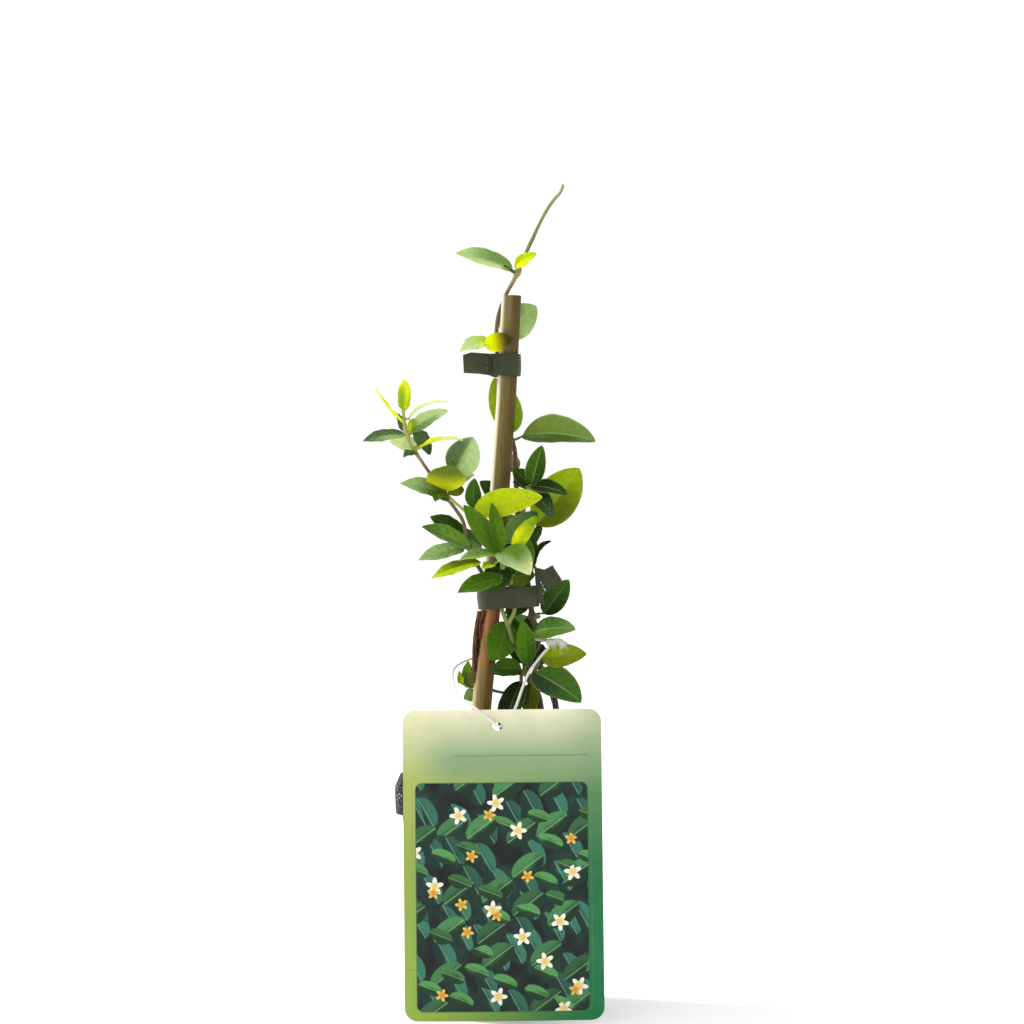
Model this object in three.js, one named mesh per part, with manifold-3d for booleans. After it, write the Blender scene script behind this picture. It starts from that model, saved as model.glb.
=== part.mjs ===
// A young honeysuckle vine in a square nursery pot. It climbs a leaning bamboo cane, held by two
// tape ties, and carries a plain picture label on a string.
// Millimetres, +Z up, the label side faces -Y. The origin is the centre of the pot's underside.
import * as THREE from 'three';
import { mergeVertices } from 'three/addons/utils/BufferGeometryUtils.js';
import Module from 'manifold-3d';

const wasm = await Module();
wasm.setup();

// ---- driving dimensions -------------------------------------------------------------------

const GAP = 0.3; // air between neighbouring pieces

const POT = {
  height: 100,
  rimWidth: 88, // outside, across the flats of the collar
  rimCorner: 13, // corner radius of the collar
  collarHeight: 12,
  collarStep: 3.2, // how far the collar stands proud of the wall
  collarDraft: 0.8, // how much narrower the collar is at its foot
  ledge: 2.2, // height of the slope inside, under the collar
  footWidth: 62,
  footCorner: 9,
  wall: 1.5,
  floor: 2,
  cornerSteps: 3,
  holeRadius: 4.5,
  holeSpacing: 19, // drainage holes, off centre along X and Y
};
const SOIL = {
  level: 92.5,
  dome: 3,
  domeReach: 60,
  heap: 7, // the heap in the front left corner: height, place and reach
  heapAt: [-38, -30],
  heapReach: 9.5,
  shares: [1, 0.86, 0.62, 0.34, 0.1], // of the pot's inner width, from the rim inwards
  rough: 1.4,
  crumbs: { count: 18, size: 1.2, larger: 1.2, nearHeap: 8, elsewhere: 34, fromWall: 3, fromCorner: 7 },
  stemRoom: 0.5, // between a stem and its hole
  caneRoom: 0.75,
};
const CANE = {
  radius: 4.3,
  sides: 12,
  knots: [70, 188],
  knotReach: 1.6,
  swell: 0.35,
  chamfer: 0.4,
  pithRadius: 1,
  pithDepth: 4,
  line: [
    [-15, 0, 30], [-9.8, 0, 95], [-6.6, 0, 134.7], [-2.6, 0, 178.7],
    [0.7, 0, 222.7], [3.8, 0, 266.7], [6.2, 0, 312.6],
  ],
};
const SHEATH = {
  top: 173.9,
  foot: 142,
  middleAngle: 203, // where it lies on the cane, in degrees from +X
  drift: 12, // how far it winds round the cane on its way down
  halfAngle: 42,
  footShare: 0.38, // its width at the foot, as a share of that at the top
  off: 0.45,
  thickness: 0.7,
  bulge: 1.3,
  ripple: 0.35,
  steps: 8,
};
const TAPE = { thickness: 0.8 };
const STAPLE = { wire: 0.5, span: 5.4, clinch: 1.8, off: 0.32 };
const UPPER_TIE = {
  bottom: 277.2,
  top: 286.9,
  tilt: 0,
  // inner line of the loop, from above, anticlockwise
  inside: [
    [9.6, 0], [8.2, 3.7], [5.3, 7.4], [2.2, 9.9], [-0.6, 9], [-1.8, 5.5], [-2.3, 1.5],
    [-2.5, -0.9], [-0.2, -3.5], [2.4, -4.8], [5.2, -4.9], [8.2, -3.4],
  ],
  tab: [[-2, 286.9], [-11.6, 287.6], [-15.2, 286.4], [-14.8, 278.5], [-7.7, 278.1], [-2, 277.2]],
  staple: { centre: [-4.6, 282.2], tilt: 90, front: -1.9, back: -0.3 },
};
const LOWER_TIE = {
  bottom: 175,
  top: 184,
  tilt: 3, // degrees, rising to the right
  inside: [
    [17.6, 0.5], [17.2, 3.2], [15, 5.8], [10, 6.6], [3, 6.2], [-3, 5.2], [-6.8, 3.6], [-8.1, 0],
    [-7.3, -4.1], [-4.6, -7.6], [0, -9.2], [5, -9.5], [10, -8.4], [14.5, -5.2], [17.2, -2],
  ],
  tab: [
    [17.4, 177], [20.9, 174.6], [20, 180.4], [29.2, 184.9], [27.9, 187.5], [24.9, 192.8],
    [21.3, 191], [16.9, 192.4], [17, 186.2],
  ],
  staple: { centre: [20, 184.4], tilt: 66, front: -2.4, back: -0.8 },
};
const CARD = {
  width: 84.6,
  height: 131.5,
  thickness: 0.6,
  corner: 5.5,
  centre: [2.7, -46.2, 67.7],
  lean: 2.6, // degrees, its top towards the plant
  turn: 0.6, // degrees, in its own plane
  bow: 1.6, // how far the middle stands forward
  hole: { x: -1.9, z: 58.6, halfWidth: 2.1, halfHeight: 1.7 },
  slices: [-1, -0.985, -0.955, -0.91, -0.87, -0.6, -0.3, 0, 0.3, 0.6, 0.87, 0.91, 0.955, 0.985, 1],
};
const STRING_RADIUS = 0.6;
const STRING_ROUTE = [
  [22.4, -9.2, 158.2], [21, -10.4, 156.8], [18.2, -13, 153.6], [13.3, -19, 146.9], [10.7, -25, 140.8],
  [7.7, -34, 133.1], [5.2, -39.2, 129.6], [3, -42, 127.2], [1.1, -44.6, 126.2], [-0.8, -46.4, 127.4],
  [-4, -46.9, 130.2], [-8, -46.2, 133.2], [-11.5, -43, 135.6], [-15.8, -36, 138], [-18.2, -27, 141.4],
  [-18.9, -20, 143.6], [-19.5, -11, 145.6], [-19.4, -3, 147.8], [-17, 5, 150.2], [-12, 10, 152.2],
  [-5, 12.6, 154], [4, 13.2, 156], [13, 12.2, 158.6], [20.6, 9.6, 160.4], [24.6, 4, 161],
  [25, -1.5, 161.4], [24.6, -5.6, 161.3],
];
const KNOT = {
  turnRadius: 3.1,
  turnCentre: [17.5, 4, 161.2],
  bridge: [[20.4, 3.2, 161.2], [21.6, -1, 161], [22.4, -5, 160.6], [23.4, -8, 160.4]],
  lumps: [
    { at: [23.2, -8.2, 160.2], size: [2.2, 1.7, 1.6] },
    { at: [26, -8.8, 160.8], size: [2.7, 1.6, 1.5] },
    { at: [28.8, -9.6, 160], size: [1.6, 1.1, 1.9] },
  ],
};
const STEM_STEP = 7;
// a leaf's stalk: its six-cornered section, and how short it may be before it is left out
const STALK = {
  section: [[-0.55, 0.3], [0, 0.6], [0.55, 0.3], [0.55, -0.3], [0, -0.6], [-0.55, -0.3]],
  shortest: 0.8,
};
const BLADE = { thickness: 0.62, wave: 0.35, long: 16, point: 0.3 };

// ---- materials ----------------------------------------------------------------------------

const paint = (color, roughness, metalness = 0) =>
  new THREE.MeshStandardMaterial({ color, roughness, metalness, flatShading: true });
const PAINT = {
  pot: paint(0x151515, 0.5),
  soil: paint(0x2b1d14, 0.95),
  cane: paint(0x9a8a62, 0.6),
  sheath: paint(0x5a3a22, 0.9),
  tape: paint(0x3c4838, 0.45),
  steel: paint(0xb8bcc0, 0.3, 1),
  card: paint(0x6f9a5a, 0.5),
  string: paint(0xf2f0ea, 0.9),
  wood: paint(0x4f5a2a, 0.7),
  front: paint(0x6f9a1f, 0.55),
  dark: paint(0x2f5a18, 0.5),
  low: paint(0x3d6f22, 0.5),
};

// ---- closed solids ------------------------------------------------------------------------

const vec = (p) => new THREE.Vector3(...p);

/** A geometry from corner points and triangles, turned so that its faces point out. */
function closedGeometry(points, triangles) {
  let volume = 0;
  for (const [a, b, c] of triangles) {
    volume += points[a].dot(new THREE.Vector3().crossVectors(points[b], points[c]));
  }
  const index = triangles.flatMap(([a, b, c]) => (volume > 0 ? [a, b, c] : [a, c, b]));
  const geometry = new THREE.BufferGeometry();
  const flat = points.flatMap((p) => p.toArray());
  geometry.setAttribute('position', new THREE.Float32BufferAttribute(flat, 3));
  geometry.setIndex(index);
  return geometry;
}

/**
 * A closed solid through rings of an equal, even number of corners. Its flat ends are strips of
 * triangles, so that a hollow section is closed rightly too. From corner `flipFrom` on, the quads
 * of the sides are split along their other diagonal.
 */
function loft(rings, flipFrom = Infinity) {
  const n = rings[0].length;
  const triangles = [];
  for (let i = 0; i + 1 < rings.length; i += 1) {
    for (let k = 0; k < n; k += 1) {
      const a = i * n + k;
      const b = i * n + ((k + 1) % n);
      const [c, d] = [b + n, a + n];
      if (k >= flipFrom) triangles.push([a, b, d], [b, c, d]);
      else triangles.push([a, b, c], [a, c, d]);
    }
  }
  const last = (rings.length - 1) * n;
  for (let k = 0; k < n / 2 - 1; k += 1) {
    const [a, b, c, d] = [k, k + 1, n - 2 - k, n - 1 - k];
    triangles.push([a, c, b], [a, d, c]);
    triangles.push([last + a, last + b, last + c], [last + a, last + c, last + d]);
  }
  return closedGeometry(rings.flat(), triangles);
}

/** A smooth round stem through hand-set points; its radius runs from the first to the last. */
function tube(points, [from, to], sides = 6, step = STEM_STEP) {
  const curve = new THREE.CatmullRomCurve3(points.map(vec), false, 'centripetal');
  const steps = Math.max(2, Math.round(curve.getLength() / step));
  const { normals, binormals } = curve.computeFrenetFrames(steps, false);
  const rings = [];
  for (let i = 0; i <= steps; i += 1) {
    const t = i / steps;
    const radius = from + (to - from) * t;
    rings.push(circle(curve.getPointAt(t), normals[i], binormals[i], radius, sides));
  }
  return loft(rings);
}

/** Corners of a regular polygon round a centre, in the plane of two directions. */
function circle(centre, across, up, radius, sides, start = 0) {
  return Array.from({ length: sides }, (_, k) => {
    const turn = start + (2 * Math.PI * k) / sides;
    const [c, d] = [radius * Math.cos(turn), radius * Math.sin(turn)];
    return centre.clone().addScaledVector(across, c).addScaledVector(up, d);
  });
}

/** A three.js geometry as a manifold solid. */
function solid(geometry) {
  const bare = geometry.clone();
  for (const name of ['normal', 'uv']) bare.deleteAttribute(name);
  const merged = mergeVertices(bare, 1e-5);
  return new wasm.Manifold(
    new wasm.Mesh({
      numProp: 3,
      vertProperties: new Float32Array(merged.attributes.position.array),
      triVerts: new Uint32Array(merged.index.array),
    }),
  );
}

/** All solids joined in one; slivers under 0.01 mm are tidied and loose scraps dropped. */
function joined(solids) {
  const whole = solids.reduce((sum, next) => sum.add(next)).simplify(0.01);
  return whole.decompose().reduce((best, part) => (part.volume() > best.volume() ? part : best));
}

function geometryOf(shape) {
  const mesh = shape.getMesh();
  const geometry = new THREE.BufferGeometry();
  geometry.setAttribute('position', new THREE.Float32BufferAttribute(mesh.vertProperties, 3));
  geometry.setIndex(Array.from(mesh.triVerts));
  return geometry;
}

const plant = new THREE.Group();

function addMesh(name, shape, material) {
  const geometry = shape.isBufferGeometry ? shape : geometryOf(shape);
  const mesh = new THREE.Mesh(geometry, material);
  mesh.name = name;
  plant.add(mesh);
  return mesh;
}

// ---- leaves -------------------------------------------------------------------------------

/** Half width of a leaf along its length, as a share of the widest: round foot, drawn-out tip. */
const outline = (t) => (t ** 0.55 * (1 - t) ** 0.75) / 0.4124;

/** The nearest point of some stems' hand-set lines. */
function nearest(stems, point) {
  let best = null;
  for (const { path } of stems) {
    for (let i = 0; i + 1 < path.length; i += 1) {
      const spot = new THREE.Vector3();
      new THREE.Line3(vec(path[i]), vec(path[i + 1])).closestPointToPoint(point, true, spot);
      if (!best || spot.distanceTo(point) < best.distanceTo(point)) best = spot;
    }
  }
  return best;
}

/** The rings of a leaf's short stalk, from the middle of its stem up to the blade. */
function stalkRings(foot, base, along, side) {
  const ring = (centre, way) => {
    const across = side.clone().addScaledVector(way, -side.dot(way)).normalize();
    const up = new THREE.Vector3().crossVectors(across, way);
    return STALK.section.map(([s, u]) => centre.clone().addScaledVector(across, s).addScaledVector(up, u));
  };
  const way = base.clone().sub(foot);
  if (way.length() < STALK.shortest) return [ring(base, along)];
  way.normalize();
  return [ring(foot, way), ring(base, way.clone().add(along).normalize())];
}

/**
 * One leaf with its stalk. The midrib runs from `base` to `tip` and bulges by `arch` towards the
 * side that `face`, the upper face's direction, looks to. The two halves rise from it by `fold`
 * degrees, `sweep` bends it sideways, and the margin waves a little.
 */
function leafSolid(stems, { base, tip, width, face, fold = 14, arch = 1.5, sweep = 0 }) {
  const along = vec(tip).sub(vec(base));
  const length = along.length();
  along.normalize();
  const up = vec(face).addScaledVector(along, -vec(face).dot(along)).normalize();
  const side = new THREE.Vector3().crossVectors(along, up);
  const rise = THREE.MathUtils.degToRad(fold);
  const lift = BLADE.thickness / Math.cos(rise) / 2;
  const spans = length > BLADE.long ? 6 : 5;
  const rings = stalkRings(nearest(stems, vec(base)), vec(base), along, side);
  for (let i = 1; i <= spans; i += 1) {
    const t = 0.5 - 0.5 * Math.cos((Math.PI * i) / spans);
    const half = Math.max((width / 2) * outline(t), BLADE.point);
    const bulge = 4 * t * (1 - t);
    const row = [-1, 0, 1].map((v) => {
      const wave = BLADE.wave * v * v * Math.sin(2 * Math.PI * (1.5 * t + 0.2 * v));
      return vec(base)
        .addScaledVector(along, length * t)
        .addScaledVector(side, sweep * bulge + v * half * Math.cos(rise))
        .addScaledVector(up, arch * bulge + Math.abs(v) * half * Math.sin(rise) + wave);
    });
    const top = row.map((p) => p.clone().addScaledVector(up, lift));
    const under = row.map((p) => p.clone().addScaledVector(up, -lift)).reverse();
    rings.push([...top, ...under]);
  }
  return solid(loft(rings, 3));
}

/** A stem's description: its hand-set points and its radius at either end. */
const stem = (path, radii) => ({ path, radii });

/** A leafy node: its stems and leaves fused in one body, cut clear of the stems that bear it. */
function leafyNode(name, stems, leaves, material, bearer = []) {
  const pieces = stems.map(({ path, radii }) => solid(tube(path, radii)));
  for (const one of leaves) pieces.push(leafSolid(stems, one));
  let whole = joined(pieces);
  for (const { path, radii } of bearer) {
    const room = radii.map((r) => r + GAP + 0.1);
    whole = whole.subtract(solid(tube(path, room)));
  }
  return addMesh(name, joined([whole]), material);
}

// ---- the stems ----------------------------------------------------------------------------

const CLIMBER = stem(
  [
    [21.5, 7, 60], [20.5, 6, 103.5], [19.5, 5, 119], [19, 4, 130.5], [17.5, 3, 137.5],
    [14.5, 2, 142.5], [12.5, 1, 148.5], [14.5, 2, 154], [17.5, 4, 158.5], [17.5, 4, 164.5],
    [15.5, 3, 170.5], [14.5, 3, 177.5], [13, 4, 187.5], [11.5, 5, 198.5], [9.5, 6, 211.5],
    [8.5, 6.5, 225], [8, 6.5, 237], [7.5, 6.5, 245], [5.5, 8, 251], [3.5, 8.6, 262.5],
    [1.5, 7.6, 276], [0, 5.6, 288], [-0.6, 4.4, 294.5], [-0.2, 4, 300], [1, 4.6, 306],
    [3.8, 5.1, 313.4], [6.3, 3.4, 318], [8, 1.6, 321], [9.5, 1, 324], [10, 2, 326.5],
    [12, 3, 330.5], [15, 4, 337], [19, 5, 345.5], [22.5, 5, 352], [25.5, 5, 356],
    [28, 5, 359], [29, 5, 362],
  ],
  [1.75, 0.7],
);
const OLD_WOOD = stem(
  [
    [28, 16, 60], [27.5, 15.5, 89], [27, 14, 116], [26, 12, 130], [24, 10, 138.5],
    [21, 7, 145.5], [17.5, 4, 150], [13.5, 1.5, 150],
  ],
  [1.9, 1.5],
);
const LEFT_SHOOT = stem(
  [
    [12.8, 1, 151], [9.8, -3.6, 154.6], [7, -5.5, 160.5], [4.5, -6, 168], [2, -6.5, 174.5],
    [-0.8, -6.7, 182.5], [-2.2, -7, 186], [-6, -10.2, 190], [-10, -11.5, 196.5],
    [-13, -12.5, 204], [-15, -13.5, 213.5], [-18.5, -14, 219], [-22.5, -15, 224.5],
    [-26, -14, 230.5], [-29.5, -13.5, 234.5], [-34, -13, 241], [-37.5, -12.5, 246],
    [-39.5, -12, 251.5], [-40.5, -12, 256], [-41, -12, 262],
  ],
  [1.05, 0.6],
);
const LEFT_TWIG = stem(
  [[-22.5, -15, 224.5], [-19, -15.5, 222], [-15.5, -16, 219], [-10, -17, 214]],
  [0.75, 0.6],
);
const FRONT_SHOOT = stem(
  [
    [4.5, -6, 168], [7.5, -6.5, 174.5], [7, -6.6, 180.5], [6.2, -7.2, 186],
    [2.8, -14.5, 192.5], [1, -20, 198.5], [-2.5, -18, 206], [-6, -16, 213], [-10, -15, 218.5],
  ],
  [0.95, 0.65],
);
const RIGHT_SHOOT = stem(
  [[9.5, 6, 211.5], [11, 1, 216], [12.5, -4, 222], [15, -6.5, 228]],
  [1, 0.8],
);
const LEFT_SPUR = stem(
  [[13, 1.5, 146.6], [11.8, -3.2, 147.6], [10.6, -5.2, 146], [10.4, -5.6, 142.5]],
  [0.9, 0.7],
);
const RIGHT_SPUR = stem(
  [[14, 1.5, 144], [15.8, -2.2, 146.5], [17.5, -3, 150], [19, -1.5, 154]],
  [0.9, 0.7],
);
const LOW_TWIG = stem(
  [[17, 3, 137.5], [10, 9, 136], [1, 11, 137.5], [-7, 9.5, 139.5], [-14, 7, 140.5]],
  [0.8, 0.6],
);

// ---- the leaves, as the upper face of each looks ------------------------------------------

const leaf = (base, tip, width, face, shape = {}) => ({ base, tip, width, face, ...shape });

const CLIMBER_LEAVES = [
  // above the cane
  leaf([6.5, 1, 324], [-18.5, -7, 330.5], 12, [0.1, -0.75, 0.66], { fold: 24, arch: 1 }),
  leaf([7.6, -1.6, 325.2], [17, -3, 331], 6.5, [-0.3, -0.9, 0.5], { fold: 8, arch: 0.6 }),
  leaf([6.5, 0, 323], [2.5, -5, 325], 3, [0, -0.5, 0.8], { arch: 0.5 }),
  // beside the cane's top, and below the upper tie
  leaf([-0.6, 1.5, 291], [-16.5, -5, 287.5], 11.5, [-0.1, -0.6, 0.8], { arch: 2.5, fold: 12 }),
  leaf([-5.5, -5.4, 290.4], [6.8, -6.8, 293.4], 8.5, [0, -1, 0.1], { fold: 8, arch: 0.8 }),
  leaf([2.5, 8.5, 295.5], [17.2, 9, 308.6], 16, [-0.1, -1, 0.2], { fold: 8 }),
  leaf([7.5, 10.5, 253], [-1.5, 11, 277], 14, [0, -1, 0.1], { fold: 6, arch: -0.5 }),
  leaf([11, 6, 251], [43, -4, 248.5], 18.5, [0.05, -0.75, 0.6], { fold: 25, arch: 3 }),
  // behind the cane and the front leaves
  leaf([2.5, 10, 222.5], [-8, 8, 231], 8, [0, -1, 0.3]),
  leaf([8, 9.5, 235], [1, 26, 242], 10, [-0.2, -0.1, 0.95], { fold: 18 }),
  leaf([10, 9, 209], [16, 27, 203], 12, [0.2, 0.2, 0.95], { fold: 16 }),
  leaf([8, 8, 212], [-6, 22, 215], 11, [-0.3, 0.1, 0.95], { fold: 16 }),
  leaf([13, 7, 188], [3, 25, 191], 12, [0, 0.2, 0.95], { fold: 16 }),
  leaf([15, 8, 171], [10, 27, 164], 13, [0, 0.3, 0.9], { fold: 16 }),
  leaf([11, 5.5, 150.5], [4.5, 6.5, 172.5], 10.5, [0.1, -1, 0.1]),
  leaf([12.6, 9.5, 154.5], [15, 9.7, 172], 10, [0, -1, 0], { arch: 0 }),
  leaf([16.2, 7.2, 149.6], [20, 7.4, 159], 9, [0, -1, 0]),
  leaf([13, 0.5, 178.5], [3.5, -2.6, 172.6], 9, [0, -1, 0.2]),
  leaf([11, 0, 197.5], [9.4, -4.5, 183], 11, [0, -1, 0.1], { fold: 8 }),
  // small dark ones to the right, one of them withered
  leaf([14.5, 1, 203], [18.5, -0.5, 214], 4.5, [0.6, -0.8, 0]),
  leaf([12.2, 2.4, 190.5], [12.6, -2, 212], 10.5, [0.2, -0.95, 0], { fold: 12 }),
  leaf([16.4, 2.2, 192.8], [23, -0.8, 205], 7, [-0.7, -0.5, 0.4], { arch: 2.2, fold: 30 }),
  leaf([20.5, 4.2, 172.5], [31.5, 3.6, 187.5], 11, [0.1, -1, 0.2]),
  leaf([15.6, -0.4, 164.6], [34.2, -9, 166.3], 12, [0, -0.8, 0.6], { fold: 12 }),
  // on the low twig, left of the cane
  leaf([-12, 7.5, 140], [-13, 5, 151.5], 6.5, [-0.3, -1, 0]),
  leaf([-16, 6, 141.5], [-17, 3, 147.5], 3, [0, -1, 0]),
  leaf([-9, 9.8, 136.5], [-15, 7.5, 134.5], 7, [0, -0.9, 0.4]),
];

const FRONT_LEAVES = [
  // tip of the left shoot: the closed pair of the bud and the pair below it
  leaf([-41, -12.5, 262], [-40.5, -14.5, 275.5], 6.4, [-0.5, 0.8, 0], { fold: 25, arch: -1 }),
  leaf([-40.5, -11.5, 262], [-40, -10, 275], 6.4, [0.5, -0.8, 0], { fold: 25, arch: -1 }),
  leaf([-40, -12, 255.5], [-53, -13, 271], 5, [0.78, 0, 0.63], { fold: 22, arch: -1 }),
  leaf([-39, -11, 258], [-21.5, -9, 265.5], 5, [-0.35, -0.1, 0.93], { fold: 22, arch: 2.5 }),
  // second and third pairs
  leaf([-38, -11, 252.5], [-21.5, -14, 261.5], 8.5, [-0.3, -0.8, 0.5]),
  leaf([-37, -10, 253], [-29.5, -7, 242.5], 8, [0.4, -0.8, 0.4]),
  leaf([-40.5, -12, 251], [-58.5, -17, 248], 7, [0.1, -0.75, 0.65]),
  leaf([-34.5, -9, 246], [-47, -7, 248.5], 7, [0, 1, 0.2], { fold: 6 }),
  leaf([-38, -13, 251], [-36.5, -17, 258], 4, [0, 0.9, 0.4]),
  leaf([-41, -10, 253], [-44.5, -6, 261], 4, [0.3, 0.9, 0]),
  leaf([-35.5, -13, 242.5], [-40.5, -20, 241], 5.5, [0, -0.6, 0.8]),
  leaf([-34.5, -13, 245], [-15, -17, 248.5], 6.5, [-0.1, -0.2, 0.97], { fold: 24, arch: 2 }),
  // big node, where the shoot forks
  leaf([-18.5, -13, 234], [-10.5, -14, 250], 16, [0.1, -1, 0.1], { fold: 20, arch: 0.5 }),
  leaf([-22.5, -15, 226.5], [-21.5, -27, 237.5], 18, [0, 0.6, 0.8], { fold: 14, arch: -1.5 }),
  leaf([-21, -16.5, 222.8], [-42, -23, 229.6], 9.5, [0.1, -0.75, 0.6], { arch: 1.5, sweep: 1.2 }),
  leaf([-22.5, -15, 225], [-26.5, -27, 222], 9, [0, -0.5, 0.85]),
  leaf([-21, -14, 225], [-15.5, -9, 229], 7, [0.2, -0.9, 0.3]),
  leaf([-16.5, -12, 230], [-10, -8, 233.5], 4.5, [0, -0.7, 0.7]),
  // left of the cane
  leaf([-14, -9, 206], [-29.5, -6, 215.5], 9, [0, -0.8, 0.6]),
  leaf([-12, -14, 201.5], [-33, -19, 211], 9.5, [0, -0.75, 0.65], { fold: 22 }),
  leaf([-7, -10, 202], [-21, -7, 208.5], 9, [0, -0.8, 0.55]),
  leaf([-14.5, -15, 201.5], [-34, -23, 196.5], 8.5, [0, -0.8, 0.6]),
  leaf([-7.5, -15, 195.5], [-28.5, -21, 188.5], 8, [0.1, -0.6, 0.75]),
  leaf([-10, -14, 219], [-10, -15, 232], 7.5, [-0.2, -1, 0]),
  leaf([4.6, -4.5, 169], [-2.8, -7.4, 152.3], 14, [0.1, -1, 0.1], { fold: 8, arch: 0.3, sweep: -0.8 }),
  // the bright cluster in front
  leaf([-10, -17, 218], [19.5, -22, 224], 13, [0.1, -0.9, 0.3], { arch: 2 }),
  leaf([0.5, -22, 200], [-14.5, -26, 220.5], 9.5, [0.1, -1, 0.15], { fold: 18 }),
  leaf([1, -22, 200], [-2.5, -25, 221.5], 7.5, [0.2, -1, 0], { fold: 28 }),
  leaf([1, -22, 198.5], [-16.5, -29, 196.5], 7.5, [0, -0.6, 0.8], { fold: 26 }),
  leaf([2, -18, 188.5], [-17, -25, 182.5], 10, [0, -0.75, 0.65], { fold: 16 }),
  leaf([-2, -21, 194], [-6.5, -27, 192.5], 5, [0, -0.7, 0.7]),
  leaf([1, -21.5, 200], [14.4, -30, 190.6], 16.5, [0.3, -0.8, 0.5], { fold: 24 }),
  leaf([7, -19.5, 201.5], [17, -19, 215.7], 7, [-0.1, -1, 0.1]),
  leaf([4.8, -13, 204], [17.5, -11, 217.2], 12, [-0.2, -0.9, 0.3]),
  leaf([2, -14.5, 195], [-1.5, -16, 182.8], 13, [0, -1, 0.2]),
  leaf([8, -7.8, 190.5], [13.8, -9.5, 206], 11, [0.2, -1, 0.1]),
  leaf([3.5, -10, 198.5], [3.5, -8, 215], 9, [0, -1, 0.1]),
  leaf([1.5, -6.9, 188.6], [16.5, -7.4, 190], 10, [0.05, -1, 0.1], { fold: 6, arch: 0 }),
];

const RIGHT_LEAVES = [
  leaf([15, -6, 229], [19.5, -8, 246.5], 9, [-0.1, -1, 0.1]),
  leaf([15.5, -7, 228.5], [30.5, -16, 225], 8.5, [0, -0.8, 0.6], { fold: 18 }),
  leaf([13.5, -6, 229], [7, -5.5, 236], 7.5, [0.1, -0.9, 0.4]),
  leaf([13, -6.5, 227.5], [6.5, -7, 230.5], 4.5, [0, -0.8, 0.6]),
  leaf([15.5, -8, 226.5], [24, -13, 215], 9, [0.3, -0.9, 0.2]),
  leaf([15.5, -7, 228.5], [20.5, -9, 228.5], 2.4, [0, -0.8, 0.6], { arch: 0.3 }),
  leaf([17, -4, 211.8], [36.3, 4, 236.6], 19.5, [0.1, -1, 0.1], { fold: 8 }),
];

const LOW_LEFT_LEAVES = [
  leaf([10.5, -6, 148.2], [-3.2, -13.5, 148.4], 10, [0.1, -0.85, 0.5], { fold: 22 }),
  leaf([13, -5.6, 150.5], [10.6, -11.5, 170.5], 9, [0.3, -1, 0], { fold: 14 }),
  leaf([9.5, -3.5, 148], [-2.5, -8.6, 146.5], 8, [0, -0.8, 0.6]),
  leaf([10.5, -5, 143], [2, -14, 121], 11.5, [-0.3, -0.9, 0.2]),
];

const LOW_RIGHT_LEAVES = [
  leaf([19.5, -2, 153.5], [39, -10, 155.5], 11, [0, -1, 0.2], { fold: 10 }),
  leaf([16.5, -4.5, 147], [36.5, -19, 135], 16.5, [0.1, -0.85, 0.5], { fold: 12 }),
  leaf([14.5, -1, 142], [14, -5, 125.5], 8, [0, -1, 0]),
];

leafyNode('vine_climbing_stem', [CLIMBER, OLD_WOOD, LOW_TWIG], CLIMBER_LEAVES, PAINT.wood);
leafyNode('vine_front_shoots', [LEFT_SHOOT, LEFT_TWIG, FRONT_SHOOT], FRONT_LEAVES, PAINT.front, [CLIMBER]);
leafyNode('vine_right_shoot', [RIGHT_SHOOT], RIGHT_LEAVES, PAINT.dark, [CLIMBER]);
leafyNode('spray_base_left', [LEFT_SPUR], LOW_LEFT_LEAVES, PAINT.low, [CLIMBER]);
leafyNode('spray_base_right', [RIGHT_SPUR], LOW_RIGHT_LEAVES, PAINT.low, [CLIMBER, OLD_WOOD]);

// ---- cane ---------------------------------------------------------------------------------

/** The middle of the leaning cane at a height. */
function caneAt(z) {
  const { line } = CANE;
  const i = Math.max(1, line.findIndex((p) => p[2] >= z));
  const [low, high] = [line[i - 1], line[i]];
  const share = (z - low[2]) / (high[2] - low[2]);
  return new THREE.Vector3(low[0] + share * (high[0] - low[0]), 0, z);
}

/** The cane as a round rod along its line, with a low ring at each knot, or the same rod fatter. */
function caneGeometry(more = 0) {
  const heights = CANE.line.map((p) => p[2]);
  const last = heights.at(-1);
  for (const knot of CANE.knots) heights.push(knot - CANE.knotReach, knot, knot + CANE.knotReach);
  heights.push(last - CANE.chamfer);
  heights.sort((a, b) => a - b);
  const [across, back] = [new THREE.Vector3(1, 0, 0), new THREE.Vector3(0, 1, 0)];
  return loft(
    heights.map((z) => {
      const swell = CANE.knots.includes(z) ? CANE.swell : 0;
      const radius = CANE.radius + swell - (z === last ? CANE.chamfer : 0);
      return circle(caneAt(z), across, back, radius + more, CANE.sides);
    }),
  );
}

/** A strip of the dry sheath that once clasped the cane: a ragged crescent on its left side. */
function sheathGeometry() {
  const rings = [];
  for (let i = 0; i <= SHEATH.steps; i += 1) {
    const t = i / SHEATH.steps;
    const z = SHEATH.top + (SHEATH.foot - SHEATH.top) * t;
    const middle = caneAt(z);
    const half = THREE.MathUtils.degToRad(SHEATH.halfAngle * (1 - (1 - SHEATH.footShare) * t));
    const turn = THREE.MathUtils.degToRad(SHEATH.middleAngle - SHEATH.drift * t);
    const inner = CANE.radius + SHEATH.off;
    const outer = inner + SHEATH.thickness + SHEATH.bulge * Math.sin(Math.PI * (0.2 + 0.75 * t)) ** 2;
    const at = (radius, share) => {
      const angle = turn + half * share;
      return new THREE.Vector3(radius * Math.cos(angle), radius * Math.sin(angle), 0).add(middle);
    };
    const shares = [-1, -0.5, 0, 0.5, 1];
    const ripple = (k) => (k % 2 ? SHEATH.ripple * Math.sin(5 * t + k) : 0);
    rings.push([
      ...shares.map((share, k) => at(outer - ripple(k), share)),
      ...shares.toReversed().map((share) => at(inner, share)),
    ]);
  }
  return loft(rings);
}

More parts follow.
